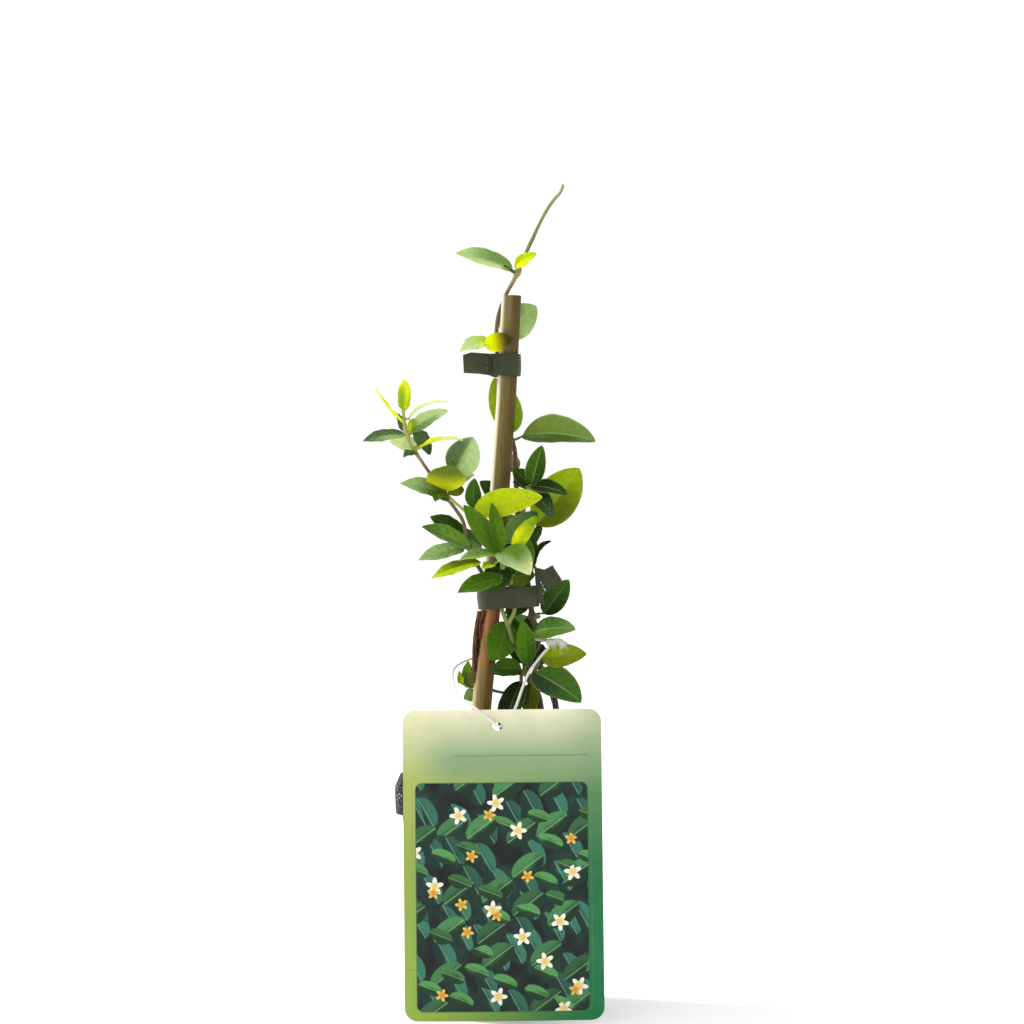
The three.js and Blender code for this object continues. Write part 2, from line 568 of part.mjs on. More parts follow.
const box = (x, y, z) => new THREE.BoxGeometry(x, y, z);

const caneTop = caneAt(CANE.line.at(-1)[2]);
const pith = new THREE.CylinderGeometry(CANE.pithRadius, CANE.pithRadius, 2 * CANE.pithDepth, 8);
pith.rotateX(Math.PI / 2).translate(caneTop.x, caneTop.y, caneTop.z);
addMesh('cane', solid(caneGeometry()).subtract(solid(pith)), PAINT.cane);
addMesh('cane_sheath', sheathGeometry(), PAINT.sheath);

// ---- tape ties ----------------------------------------------------------------------------

/** A loop of tape that stands on edge, seen from above: `inside` lists points of its inner line. */
function loopGeometry(inside, bottom, top) {
  const curve = new THREE.CatmullRomCurve3(inside.map(([x, y]) => new THREE.Vector3(x, y, 0)), true);
  const count = 2 * inside.length;
  const line = Array.from({ length: count }, (_, k) => curve.getPoint(k / count));
  const outer = line.map((p, k) => {
    const tangent = curve.getTangent(k / count);
    return new THREE.Vector2(p.x + TAPE.thickness * tangent.y, p.y - TAPE.thickness * tangent.x);
  });
  const shape = new THREE.Shape(outer);
  shape.holes.push(new THREE.Path(line.map((p) => new THREE.Vector2(p.x, p.y))));
  const geometry = new THREE.ExtrudeGeometry(shape, { depth: top - bottom, bevelEnabled: false });
  return geometry.translate(0, 0, bottom);
}

/** The tape's two ends, pressed flat on each other: `outlineXZ` seen from the front. */
function tabGeometry(outlineXZ, front, back) {
  const shape = new THREE.Shape(outlineXZ.map(([x, z]) => new THREE.Vector2(x, z)));
  const geometry = new THREE.ExtrudeGeometry(shape, { depth: back - front, bevelEnabled: false });
  return geometry.rotateX(Math.PI / 2).translate(0, back, 0);
}

/** A staple's wire, or with `room` the space that it needs, across a tab. */
function stapleSolid({ centre: [x, z], tilt, front, back }, room = 0) {
  const wire = STAPLE.wire + 2 * room;
  const depth = back - front + 2 * STAPLE.off + 2 * wire;
  const middle = (front + back) / 2;
  const crown = box(STAPLE.span + wire, wire, wire).translate(0, middle - depth / 2 + wire / 2, 0);
  const parts = [crown];
  for (const end of [-1, 1]) {
    parts.push(box(wire, depth, wire).translate((end * STAPLE.span) / 2, middle, 0));
    const bent = box(STAPLE.clinch + wire, wire, wire);
    parts.push(bent.translate(end * (STAPLE.span - STAPLE.clinch) / 2, middle + depth / 2 - wire / 2, 0));
  }
  const placed = parts.map((g) => solid(g.rotateY(THREE.MathUtils.degToRad(tilt)).translate(x, 0, z)));
  return placed.reduce((sum, next) => sum.add(next));
}

/** A tie: loop and tab in one strip of tape, with the staple's two holes. */
function addTie(name, { inside, bottom, top, tilt, tab, staple }) {
  const loop = solid(loopGeometry(inside, bottom, top));
  const strip = loop.add(solid(tabGeometry(tab, staple.front, staple.back)));
  const middle = (bottom + top) / 2;
  const leaning = (shape) => shape.translate(0, 0, -middle).rotate(0, -tilt, 0).translate(0, 0, middle);
  addMesh(`tie_${name}`, joined([leaning(strip.subtract(stapleSolid(staple, GAP)))]), PAINT.tape);
  addMesh(`staple_${name}`, leaning(stapleSolid(staple)), PAINT.steel);
}

addTie('upper', UPPER_TIE);
addTie('lower', LOWER_TIE);

// ---- pot and soil -------------------------------------------------------------------------

/** A square with round corners, level at a height. */
function roundedSquare(width, corner, z) {
  const ring = [];
  for (let side = 0; side < 4; side += 1) {
    for (let k = 0; k <= POT.cornerSteps; k += 1) {
      const turn = (Math.PI / 2) * (side + k / POT.cornerSteps);
      const quarter = Math.PI * (side / 2 + 1 / 4);
      const middle = (width / 2 - corner) * Math.SQRT2;
      const x = middle * Math.cos(quarter) + corner * Math.cos(turn);
      const y = middle * Math.sin(quarter) + corner * Math.sin(turn);
      ring.push(new THREE.Vector3(x, y, z));
    }
  }
  return ring;
}

const wallWidth = POT.rimWidth - 2 * POT.collarStep; // outside, just under the collar
const wallCorner = POT.rimCorner - POT.collarStep;
const collarFoot = POT.height - POT.collarHeight;
const mouthWidth = POT.rimWidth - 2 * POT.wall - POT.collarDraft;

/** The space inside the pot, grown by `more` all round. */
function insideRings(top, more = 0) {
  const w = 2 * more;
  return [
    roundedSquare(POT.footWidth - 2 * POT.wall + w, POT.footCorner - POT.wall + more, POT.floor - more),
    roundedSquare(wallWidth - 2 * POT.wall + w, wallCorner - POT.wall + more, collarFoot - more),
    roundedSquare(mouthWidth + w, POT.rimCorner - POT.wall + more, collarFoot + POT.ledge - more),
    roundedSquare(mouthWidth + w, POT.rimCorner - POT.wall + more, top),
  ];
}

let pot = solid(
  loft([
    roundedSquare(POT.footWidth, POT.footCorner, 0),
    roundedSquare(wallWidth, wallCorner, collarFoot - 0.2),
    roundedSquare(POT.rimWidth - POT.collarDraft, POT.rimCorner, collarFoot + 0.2),
    roundedSquare(POT.rimWidth, POT.rimCorner, POT.height),
  ]),
).subtract(solid(loft(insideRings(POT.height + 1))));
for (const x of [-1, 1]) {
  for (const y of [-1, 1]) {
    const hole = new THREE.CylinderGeometry(POT.holeRadius, POT.holeRadius, 3 * POT.floor, 12);
    hole.rotateX(Math.PI / 2).translate(x * POT.holeSpacing, y * POT.holeSpacing, POT.floor / 2);
    pot = pot.subtract(solid(hole));
  }
}
addMesh('pot', pot, PAINT.pot);

/** A small repeatable random number from 0 to 1 for each pair of whole numbers. */
const chance = (a, b) => {
  const s = Math.sin(12.9898 * a + 78.233 * b) * 43758.5453;
  return s - Math.floor(s);
};

/** How high the soil stands at a place: gently domed, heaped up in the front left corner. */
function soilHeight(x, y) {
  const dome = SOIL.dome * (1 - (x * x + y * y) / SOIL.domeReach ** 2);
  const away = Math.hypot(x - SOIL.heapAt[0], y - SOIL.heapAt[1]) / SOIL.heapReach;
  return SOIL.level + dome + SOIL.heap * Math.exp(-away * away);
}

const soilRings = insideRings(SOIL.level - 1.5, -GAP);
SOIL.shares.forEach((share, i) => {
  const width = (mouthWidth - 2 * GAP) * share;
  const ring = roundedSquare(width, Math.max(1, (POT.rimCorner - POT.wall - GAP) * share), 0);
  soilRings.push(ring.map((p, k) => p.setZ(soilHeight(p.x, p.y) + SOIL.rough * (chance(i, k) - 0.5))));
});
let soil = solid(loft(soilRings));
const crumbs = SOIL.crumbs;
const limit = POT.rimWidth / 2 - POT.wall - crumbs.fromWall;
for (let i = 0; i < crumbs.count; i += 1) {
  const inHeap = i % 3 !== 0;
  const reach = inHeap ? crumbs.nearHeap : crumbs.elsewhere;
  const [cx, cy] = inHeap ? SOIL.heapAt : [0, 0];
  const x = THREE.MathUtils.clamp(cx + reach * (2 * chance(i, 1) - 1), -limit, limit);
  const y = THREE.MathUtils.clamp(cy + reach * (2 * chance(i, 2) - 1), -limit, limit);
  if (Math.abs(x) + Math.abs(y) > 2 * limit - crumbs.fromCorner) continue;
  const size = crumbs.size + crumbs.larger * chance(i, 3);
  const crumb = new THREE.IcosahedronGeometry(size, 0).translate(x, y, soilHeight(x, y) + 0.3 * size);
  soil = soil.add(solid(crumb));
}

/** The hole that a stem stands in. */
function holeFor({ path: [first, ...rest], radii }) {
  const low = [first[0], first[1], first[2] - GAP];
  return solid(tube([low, ...rest], radii.map((r) => r + SOIL.stemRoom), 8));
}
for (const standing of [CLIMBER, OLD_WOOD]) soil = soil.subtract(holeFor(standing));
soil = soil.subtract(solid(caneGeometry(SOIL.caneRoom).translate(0, 0, -GAP)));
addMesh('soil', joined([soil]), PAINT.soil);

// ---- label card and its string ------------------------------------------------------------

/** The card: upright slices from side to side, shorter in the round corners, bowed forward. */
function cardGeometry() {
  const { width, height, thickness, corner, bow } = CARD;
  const rings = CARD.slices.map((share) => {
    const x = (share * width) / 2;
    const intoCorner = Math.max(0, Math.abs(x) - (width / 2 - corner));
    const half = height / 2 - corner + Math.sqrt(Math.max(0, corner ** 2 - intoCorner ** 2));
    const y = -bow * (1 - share * share);
    return [
      new THREE.Vector3(x, y, -half),
      new THREE.Vector3(x, y, half),
      new THREE.Vector3(x, y + thickness, half),
      new THREE.Vector3(x, y + thickness, -half),
    ];
  });
  return loft(rings);
}

const punched = new THREE.CylinderGeometry(1, 1, 12, 12);
punched.scale(CARD.hole.halfWidth, 1, CARD.hole.halfHeight).translate(CARD.hole.x, 0, CARD.hole.z);
const card = addMesh('label_card', solid(cardGeometry()).subtract(solid(punched)), PAINT.card);
card.position.set(...CARD.centre);
card.rotation.set(THREE.MathUtils.degToRad(-CARD.lean), THREE.MathUtils.degToRad(-CARD.turn), 0);

/** The string: an eight-sided section carried along its route. */
function stringGeometry(route) {
  const curve = new THREE.CatmullRomCurve3(route.map(vec), false, 'centripetal');
  const steps = Math.round(curve.getLength() / (6 * STRING_RADIUS));
  const section = new THREE.Shape(
    Array.from({ length: 8 }, (_, k) => {
      const turn = (Math.PI * k) / 4;
      return new THREE.Vector2(STRING_RADIUS * Math.cos(turn), STRING_RADIUS * Math.sin(turn));
    }),
  );
  return new THREE.ExtrudeGeometry(section, { steps, extrudePath: curve, bevelEnabled: false });
}
addMesh('label_string', stringGeometry(STRING_ROUTE), PAINT.string);

/** The knot: a turn of string round the woody stem, drawn into a fluffy lump beside it. */
const knot = [
  solid(new THREE.TorusGeometry(KNOT.turnRadius, STRING_RADIUS, 5, 12).translate(...KNOT.turnCentre)),
  solid(tube(KNOT.bridge, [1, 1])),
];
for (const { at, size } of KNOT.lumps) {
  knot.push(solid(new THREE.IcosahedronGeometry(1, 0).scale(...size).translate(...at)));
}
addMesh('string_knot', joined(knot), PAINT.string);

export default plant;
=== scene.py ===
# %% [markdown]
# # A young honeysuckle in a nursery pot
# The plant twines up a leaning bamboo cane, is held by two tape ties, and carries a label on a
# string. Its plain solids come in as a fixed frame. Each of them is then covered by a finer
# surface that is worked out with numpy. Lengths in the tables are millimetres, and MM turns
# them into metres.

# %% The frame
import math

import bpy
import numpy as np
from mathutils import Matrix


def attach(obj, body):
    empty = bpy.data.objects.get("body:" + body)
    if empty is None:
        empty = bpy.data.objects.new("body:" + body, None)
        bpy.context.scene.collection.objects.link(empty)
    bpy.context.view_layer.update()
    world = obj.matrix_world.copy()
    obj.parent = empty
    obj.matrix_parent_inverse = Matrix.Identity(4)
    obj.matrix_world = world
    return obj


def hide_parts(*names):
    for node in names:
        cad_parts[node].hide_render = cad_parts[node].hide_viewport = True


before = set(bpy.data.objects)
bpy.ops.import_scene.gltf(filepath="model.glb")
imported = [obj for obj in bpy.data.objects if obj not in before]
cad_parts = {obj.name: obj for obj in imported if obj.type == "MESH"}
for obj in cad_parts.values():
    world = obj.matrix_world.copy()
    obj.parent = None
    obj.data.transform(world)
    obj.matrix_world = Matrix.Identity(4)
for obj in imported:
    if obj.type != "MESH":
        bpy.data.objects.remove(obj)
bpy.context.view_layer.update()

MM = 0.001

# %% [markdown]
# ## Camera
# A long lens from 1.3 m away, level with the middle of the plant, gives the flat view of a shop
# picture. The camera comes first.

# %% Camera
VIEW_FROM = (6.4, -1300.0, 217.4)
LENS_MM = 103.85

camera = bpy.data.objects.new("camera", bpy.data.cameras.new("camera"))
camera.location = [v * MM for v in VIEW_FROM]
camera.rotation_euler = (math.pi / 2, 0, 0)
camera.data.lens = LENS_MM
bpy.context.scene.collection.objects.link(camera)
bpy.context.scene.camera = camera
print("camera at", tuple(camera.location))

# %% [markdown]
# ## Lines and closed surfaces
# Stems, strings and ties all follow a few given points. A centripetal Catmull-Rom curve
# goes through every one of them and never loops where two are close, which a plain cubic can do.
# A body is then a stack of rings carried along its line, and numpy handles all rings at once.

# %% A smooth line through points
CUBIC_CUTS = 40


def distances(line):
    """How far along the line each of its points lies."""
    return np.concatenate([[0], np.cumsum(np.linalg.norm(np.diff(line, axis=0), axis=1))])


def smooth_line(points, step, closed=False):
    """A line through the points, cut at equal steps. Between two points b and c, with a before
    and d after them, it is a cubic whose slopes are (b-a)/p - (c-a)/(p+q) + (c-b)/q and
    (c-b)/q - (d-b)/(q+r) + (d-c)/r, times q, where p, q and r are the square roots of the gaps."""
    p = np.asarray(points, float)
    ends = (p[-1:], p[:2]) if closed else (2 * p[:1] - p[1:2], 2 * p[-1:] - p[-2:-1])
    p = np.concatenate([ends[0], p, ends[1]])
    a, b, c, d = p[:-3], p[1:-2], p[2:-1], p[3:]
    gap = [np.linalg.norm(v, axis=1, keepdims=True) ** 0.5 for v in (b - a, c - b, d - c)]
    start = ((b - a) / gap[0] - (c - a) / (gap[0] + gap[1]) + (c - b) / gap[1]) * gap[1]
    end = ((c - b) / gap[1] - (d - b) / (gap[1] + gap[2]) + (d - c) / gap[2]) * gap[1]
    u = np.linspace(0, 1, CUBIC_CUTS, endpoint=False)[None, :, None]
    b, c, start, end = (v[:, None] for v in (b, c, start, end))
    line = b * (2 * u**3 - 3 * u**2 + 1) + start * (u**3 - 2 * u**2 + u)
    line = (line + c * (3 * u**2 - 2 * u**3) + end * (u**3 - u**2)).reshape(-1, 3)
    line = np.concatenate([line, line[:1] if closed else c[-1:, 0]])
    way = distances(line)
    count = max(3, int(round(way[-1] / step)) + 1)
    even = np.linspace(0, way[-1], count)[: -1 if closed else None]
    return np.stack([np.interp(even, way, line[:, k]) for k in range(3)], axis=1)


# %% Directions, angles and turns
def unit(v):
    """The same directions, one unit long."""
    return v / np.maximum(np.linalg.norm(v, axis=-1, keepdims=True), 1e-12)


def directions(line, closed=False):
    """Along, across and up at each point. Each across is the last one without its part along
    the new direction, so the rings don't twist."""
    if closed:
        along = unit(np.roll(line, -1, axis=0) - np.roll(line, 1, axis=0))
    else:
        along = unit(np.gradient(line, axis=0))
    last = np.eye(3)[np.argmin(np.abs(along[0]))]
    across = np.empty_like(line)
    for i, way in enumerate(along):
        last = last - way * (last @ way)
        last = across[i] = last / np.linalg.norm(last)
    return along, across, np.cross(along, across)


def angles(count):
    """Equal steps round a circle, from 0."""
    return np.linspace(0, 2 * np.pi, count, endpoint=False)


def turning(axis, degrees):
    """The matrix that turns points round X (0), Y (1) or Z (2)."""
    cos, sin = math.cos(math.radians(degrees)), math.sin(math.radians(degrees))
    a, b = (axis + 1) % 3, (axis + 2) % 3
    matrix = np.eye(3)
    matrix[a, a] = matrix[b, b] = cos
    matrix[a, b], matrix[b, a] = -sin, sin
    return matrix


# %% Rings, and the faces between them
def rings_round(line, radius):
    """Rings across a line. Point j of ring i lies radius[i, j] away from line[i], at the angle
    2 pi j / sides: line + radius (cos angle across + sin angle up)."""
    _, across, up = directions(line)
    turn = angles(radius.shape[1])[None, :, None]
    return line[:, None] + radius[..., None] * (np.cos(turn) * across[:, None] + np.sin(turn) * up[:, None])


def ring_faces(rows, cols, loop=False):
    """Corner numbers of the four-sided faces between neighbouring closed rings."""
    i = np.arange(rows if loop else rows - 1)[:, None] * cols
    j = np.arange(cols)[None]
    k, up = (j + 1) % cols, (i + cols) % (rows * cols)
    return np.stack([i + j, i + k, up + k, up + j], axis=-1).reshape(-1, 4)


def closed_rings(rings, **values):
    """A closed body through rings of equal size. A fan to the middle closes each end. `values`
    are numbers for each corner of the rings, and the middles get their ring's mean."""
    rows, cols = rings.shape[:2]
    j = np.arange(cols)
    k = (j + 1) % cols
    last, middle = (rows - 1) * cols, rows * cols
    fans = [(j * 0 + middle, k, j), (j * 0 + middle + 1, last + j, last + k)]

    def with_middles(grid):
        flat = grid.reshape(rows * cols, -1)
        return np.concatenate([flat, grid[:1].mean(axis=1), grid[-1:].mean(axis=1)])

    return {
        "points": with_middles(rings),
        "quads": ring_faces(rows, cols),
        "triangles": np.concatenate([np.stack(fan, axis=1) for fan in fans]),
        "values": {name: with_middles(grid) for name, grid in values.items()},
    }


def tube(line, radius, sides=10, **values):
    """A round body along a line: ring i is the circle of radius[i] across the line there."""
    radius = np.broadcast_to(radius, len(line))[:, None] + np.zeros(sides)
    spread = {k: np.repeat(v[:, None], sides, axis=1) for k, v in values.items()}
    return closed_rings(rings_round(line, radius), **spread)


# %% From arrays to an object
def new_piece(name, bodies, material, *nodes, sharp=50):
    """One mesh from closed bodies, in millimetres. It rides on the root and stands for `nodes`.
    Edges steeper than `sharp` degrees stay sharp."""
    points, loops, starts, values = [], [], [], {}
    at = total = 0
    for body in bodies:
        for faces in (body.get("quads", ()), body.get("triangles", ()), *body.get("caps", ())):
            faces = np.atleast_2d(faces)
            if faces.size:
                loops.append((faces + at).ravel())
                starts.append(total + np.arange(len(faces)) * faces.shape[1])
                total += faces.size
        points.append(body["points"])
        at += len(body["points"])
        for key, value in body.get("values", {}).items():
            values.setdefault(key, []).append(value)
    points, loops, starts = (np.concatenate(v) for v in (points, loops, starts))
    mesh = bpy.data.meshes.new(name)
    mesh.vertices.add(len(points))
    mesh.vertices.foreach_set("co", (points * MM).astype(np.float32).ravel())
    mesh.loops.add(len(loops))
    mesh.polygons.add(len(starts))
    mesh.polygons.foreach_set("loop_start", starts.astype(np.int32))
    mesh.polygons.foreach_set("vertices", loops.astype(np.int32))
    mesh.update(calc_edges=True)
    for key, value in values.items():
        value = np.concatenate(value).astype(np.float32)
        kind, field = ("FLOAT_COLOR", "color") if value.shape[1] == 4 else ("FLOAT_VECTOR", "vector")
        mesh.attributes.new(key, kind, "POINT").data.foreach_set(field, value.ravel())
    mesh.shade_smooth()
    mesh.set_sharp_from_angle(angle=math.radians(sharp))
    mesh.materials.append(material)
    piece = bpy.data.objects.new(name, mesh)
    bpy.context.scene.collection.objects.link(piece)
    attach(piece, "root")
    if nodes:
        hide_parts(*nodes)
    print(f"{name}: {len(points)} points, {len(starts)} faces")
    return piece


# %% [markdown]
# ## Nodes in a few words
# Materials are node trees. A wire is one node's output, and sums are written with it as with a
# number: each sign adds a Math node. The other helpers add one node with its settings and feeds
# in one call, so that a material reads from top to bottom like a recipe.

# %% Colours, nodes and wires
def linear(code):
    """Linear red, green and blue of a hex colour: c/12.92 where dark, ((c+0.055)/1.055)^2.4 else."""
    c = np.array([int(code[i : i + 2], 16) for i in (1, 3, 5)]) / 255
    return np.where(c <= 0.04045, c / 12.92, ((c + 0.055) / 1.055) ** 2.4)


class Wire:
    """A node's output, with the tree it belongs to."""

    def __init__(self, tree, socket):
        self.tree, self.socket = tree, socket

    def math(self, operation, *others):
        """A Math node's result, with this wire as its first number."""
        return put(self.tree, "Math", dict(enumerate((self, *others))), operation=operation)[0]

    def vector(self, operation, other=(0, 0, 0)):
        """A Vector Math node's outputs: 0 is the vector and 1 the number."""
        return put(self.tree, "VectorMath", {0: self, 1: other}, operation=operation)

    def __add__(self, other):
        return self.math("ADD", other)

    def __sub__(self, other):
        return self.math("SUBTRACT", other)

    def __mul__(self, other):
        return self.math("MULTIPLY", other)

    def __truediv__(self, other):
        return self.math("DIVIDE", other)

    def __abs__(self):
        return self.math("ABSOLUTE")


def feed(socket, value):
    """A wire is linked to the socket. A colour code, a number or a vector is set on it."""
    if isinstance(value, Wire):
        value.tree.links.new(value.socket, socket)
    else:
        socket.default_value = (*linear(value), 1) if isinstance(value, str) else value


def put(tree, kind, feeds=None, **settings):
    """One shader node. `feeds` gives its sockets wires or values, and `settings` are its own.
    Its outputs come back as wires, by number and by name."""
    made = tree.nodes.new("ShaderNode" + kind)
    for key, value in settings.items():
        setattr(made, key, value)
    for key, value in (feeds or {}).items():
        feed(made.inputs[key], value)
    return {key: Wire(tree, out) for i, out in enumerate(made.outputs) for key in (out.name, i)}


def tree_of(values):
    """The tree of the first wire among the values."""
    return next(v.tree for v in values if isinstance(v, Wire))


# %% Nodes by what they do
def blended(share, first, second, how="MIX"):
    """Two colours mixed by a share from 0 to 1."""
    feeds = {0: share, 6: first, 7: second}
    return put(tree_of(feeds.values()), "Mix", feeds, data_type="RGBA", blend_type=how)[2]


def tinted(tone, red, green, blue):
    """A colour times a share of each part."""
    return blended(1.0, tone, (red, green, blue, 1), "MULTIPLY")


def ramped(value, low, high, to=(0, 1)):
    """A value's range from low to high made 0 to 1, or `to`, with soft ends and nothing beyond."""
    feeds = {"Value": value, "From Min": low, "From Max": high, "To Min": to[0], "To Max": to[1]}
    return put(value.tree, "MapRange", feeds, interpolation_type="SMOOTHSTEP")[0]


def noise(vector, scale, detail=3, rough=0.5):
    feeds = {"Vector": vector, "Scale": scale, "Detail": detail, "Roughness": rough}
    return put(vector.tree, "TexNoise", feeds)[0]


def xyz(vector):
    return put(vector.tree, "SeparateXYZ", {0: vector})


def place_in(tree):
    """Where the point lies on its piece, in metres."""
    return put(tree, "TexCoord")["Object"]


def facing(tree):
    """The surface's direction, as x, y and z."""
    return xyz(put(tree, "NewGeometry")["Normal"])


def carried(tree, name, kind="Vector"):
    """What the mesh carries at its points under this name."""
    return put(tree, "Attribute", attribute_name=name)[kind]


def bumped(shader, height, strength, distance_mm):
    """Relief from a height from 0 to 1."""
    feeds = {"Height": height, "Strength": strength, "Distance": distance_mm * MM}
    feed(shader["Normal"], put(height.tree, "Bump", feeds)[0])


# %% Materials and groups
def new_material(name, **settings):
    """A material with one Principled shader: the material, its tree and the shader's sockets.
    Plain numbers are set on the sockets themselves."""
    material = bpy.data.materials.new(name)
    material.use_nodes = True
    shader = material.node_tree.nodes["Principled BSDF"].inputs
    for key, value in settings.items():
        shader[key.replace("_", " ")].default_value = value
    return material, material.node_tree, shader


def new_group(name, inputs, outputs):
    """A shader group: its tree, its inputs as wires, and the sockets of its outputs."""
    tree = bpy.data.node_groups.new(name, "ShaderNodeTree")
    for label, kind, value in inputs:
        socket = tree.interface.new_socket(label, in_out="INPUT", socket_type="NodeSocket" + kind)
        socket.default_value = value
    for label in outputs:
        tree.interface.new_socket(label, in_out="OUTPUT", socket_type="NodeSocketFloat")
    given = tree.nodes.new("NodeGroupInput").outputs
    wires = [Wire(tree, given[label]) for label, _, _ in inputs]
    return tree, wires, tree.nodes.new("NodeGroupOutput").inputs


def use_group(group, **feeds):
    return put(tree_of(feeds.values()), "Group", feeds, node_tree=group)


# %% [markdown]
# ## Effects that several finishes share
# Streaks that run one way stand for fibre in bamboo, bark, the dry sheath and pulled tape.
# Specks stand for crumbs and dust. Each is a node group, built once, with its own values
# wherever it is used.

# %% Streaks and specks
NOWHERE = (0, 0, 0)

streaks, (place, across, contrast), result = new_group(
    "streaks",
    [("Vector", "Vector", NOWHERE), ("Across", "Vector", (600, 600, 12)), ("Contrast", "Float", 1.0)],
    ["Value"],
)
stretched = place.vector("MULTIPLY", across)[0]
both = noise(stretched, 1.0, 4, 0.6) * 0.6 + noise(stretched, 0.23, 2) * 0.4
feed(result["Value"], (both - 0.5) * contrast + 0.5)

specks, (place, scale, size, share), result = new_group(
    "specks",
    [
        ("Vector", "Vector", NOWHERE), ("Scale", "Float", 400.0), ("Size", "Float", 0.3),
        ("Share", "Float", 0.5),
    ],
    ["Mask"],
)
cells = put(specks, "TexVoronoi", {"Vector": place, "Scale": scale})
chosen = put(specks, "SeparateColor", {0: cells["Color"]})[0].math("LESS_THAN", share)
near = ramped(cells["Distance"] / size, 0.6, 1.0, (1, 0))
feed(result["Mask"], chosen * near)
print("groups:", [g.name for g in bpy.data.node_groups])

# %% [markdown]
# ## The label's string
# The string is white cotton about 1.2 mm thick. It leaves its knot on the woody stem, comes down
# through the hole in the label, goes back round the cane and ends in the same knot. Two plies
# are twisted together, which a round tube can't show. So the section's radius has two humps that
# turn as it goes along.

# %% String and its finish
STRING_RADIUS = 0.6
STRING_STEP = 0.5
TWIST_PITCH = 3.2
STRING_ROUTE = [
    (22.4, -9.2, 158.2), (21, -10.4, 156.8), (18.2, -13, 153.6), (13.3, -19, 146.9), (10.7, -25, 140.8),
    (7.7, -34, 133.1), (5.2, -39.2, 129.6), (3, -42, 127.2), (1.1, -44.6, 126.2), (-0.8, -46.4, 127.4),
    (-4, -46.9, 130.2), (-8, -46.2, 133.2), (-11.5, -43, 135.6), (-15.8, -36, 138), (-18.2, -27, 141.4),
    (-18.9, -20, 143.6), (-19.5, -11, 145.6), (-19.4, -3, 147.8), (-17, 5, 150.2), (-12, 10, 152.2),
    (-5, 12.6, 154), (4, 13.2, 156), (13, 12.2, 158.6), (20.6, 9.6, 160.4), (24.6, 4, 161),
    (25, -1.5, 161.4), (24.6, -5.6, 161.3),
]

cotton, tree, shader = new_material("cotton", Roughness=0.9, Sheen_Weight=0.3)
fluff = noise(place_in(tree), 2500, 4, 0.7)
feed(shader["Base Color"], blended(fluff, "#b2ad9f", "#f6f4ee"))
bumped(shader, fluff, 0.5, 0.2)


def twine(line, radius, sides=16):
    """Two plies of twisted string. At angle a and distance s the radius is R times 0.84 plus
    0.16 times the size of cos(a - 2 pi s / pitch), and it wavers by a twentieth."""
    way, turn = distances(line)[:, None], angles(sides)[None]
    r = radius * (0.84 + 0.16 * np.abs(np.cos(turn - 2 * np.pi * way / TWIST_PITCH)))
    r = r * (1 + 0.05 * np.sin(way * 5.1) * np.sin(2 * turn + way))
    return closed_rings(rings_round(line, r))


string_line = smooth_line(STRING_ROUTE, STRING_STEP)
string = new_piece("string", [twine(string_line, STRING_RADIUS)], cotton, "label_string", sharp=80)

# %% [markdown]
# The knot is a turn of string round the stem, pulled into a small fluffy lump with short
# frayed ends. Curved tubes wound round the lump look tied, where a ball would look moulded.

# %% The knot
KNOT_TURN = {"centre": (17.5, 4, 161.2), "radius": 3.1}
KNOT_BRIDGE = [(20.4, 3.2, 161.2), (21.6, -1, 161), (22.4, -5, 160.6), (23.4, -8, 160.4)]
KNOT_LUMPS = [
    ((23.2, -8.2, 160.2), (2.3, 1.7, 1.5)), ((26, -8.8, 160.9), (2.6, 1.6, 1.3)),
    ((28.4, -9.4, 159.8), (1.5, 1.1, 1.9)),
]
BRIDGE_RADIUS = 0.85
THREAD_RADIUS = 0.3
THREAD_TURNS = 3.2
TUFTS = 260
TUFT_LENGTHS = (1.0, 2.8)
TUFT_RADII = (0.1, 0.03)
rng = np.random.default_rng(5)


def winding(centre, size, turns, phase):
    """A coil wound over an egg: latitude goes from end to end along X while longitude turns."""
    u = np.linspace(0, 1, int(turns * 14))
    latitude = np.pi * (0.12 + 0.76 * u)
    longitude = 2 * np.pi * turns * u + phase
    round_x = np.sin(latitude)
    ball = np.stack([-np.cos(latitude), round_x * np.cos(longitude), round_x * np.sin(longitude)], 1)
    return np.asarray(centre) + ball * (np.asarray(size) - 0.42)


turn = np.linspace(0, 2 * np.pi, 60)
stem_turn = np.stack([np.cos(turn), np.sin(turn), 0.05 * np.sin(2 * turn)], 1) * KNOT_TURN["radius"]
knot_bodies = [
    twine(stem_turn + np.asarray(KNOT_TURN["centre"]), STRING_RADIUS),
    twine(smooth_line(KNOT_BRIDGE, STRING_STEP), BRIDGE_RADIUS),
]
for i, (centre, size) in enumerate(KNOT_LUMPS):
    for phase in (0, 2.1, 4.2):
        thread = winding(centre, size, THREAD_TURNS, phase + i)
        thread = thread + 0.22 * np.sin(thread[:, ::-1] * 3.1 + phase)
        knot_bodies.append(tube(thread, THREAD_RADIUS, 7))
starts = np.array([c for c, _ in KNOT_LUMPS])[rng.integers(0, 3, TUFTS)] + rng.normal(0, 0.9, (TUFTS, 3))
ways = unit(rng.normal(0, 1, (TUFTS, 3)) + (0.9, -0.3, 0.2))
u = np.linspace(0, 1, 6)[:, None]
for start, way in zip(starts, ways):
    curl = np.cross(way, (0, 0, 1)) * u**2 * rng.uniform(-0.9, 0.9)
    fibre = start + way * u * rng.uniform(*TUFT_LENGTHS) + curl - (0, 0, 0.5) * u**2
    knot_bodies.append(tube(fibre, np.linspace(*TUFT_RADII, len(u)), 4))
knot = new_piece("knot", knot_bodies, cotton, "string_knot", sharp=80)

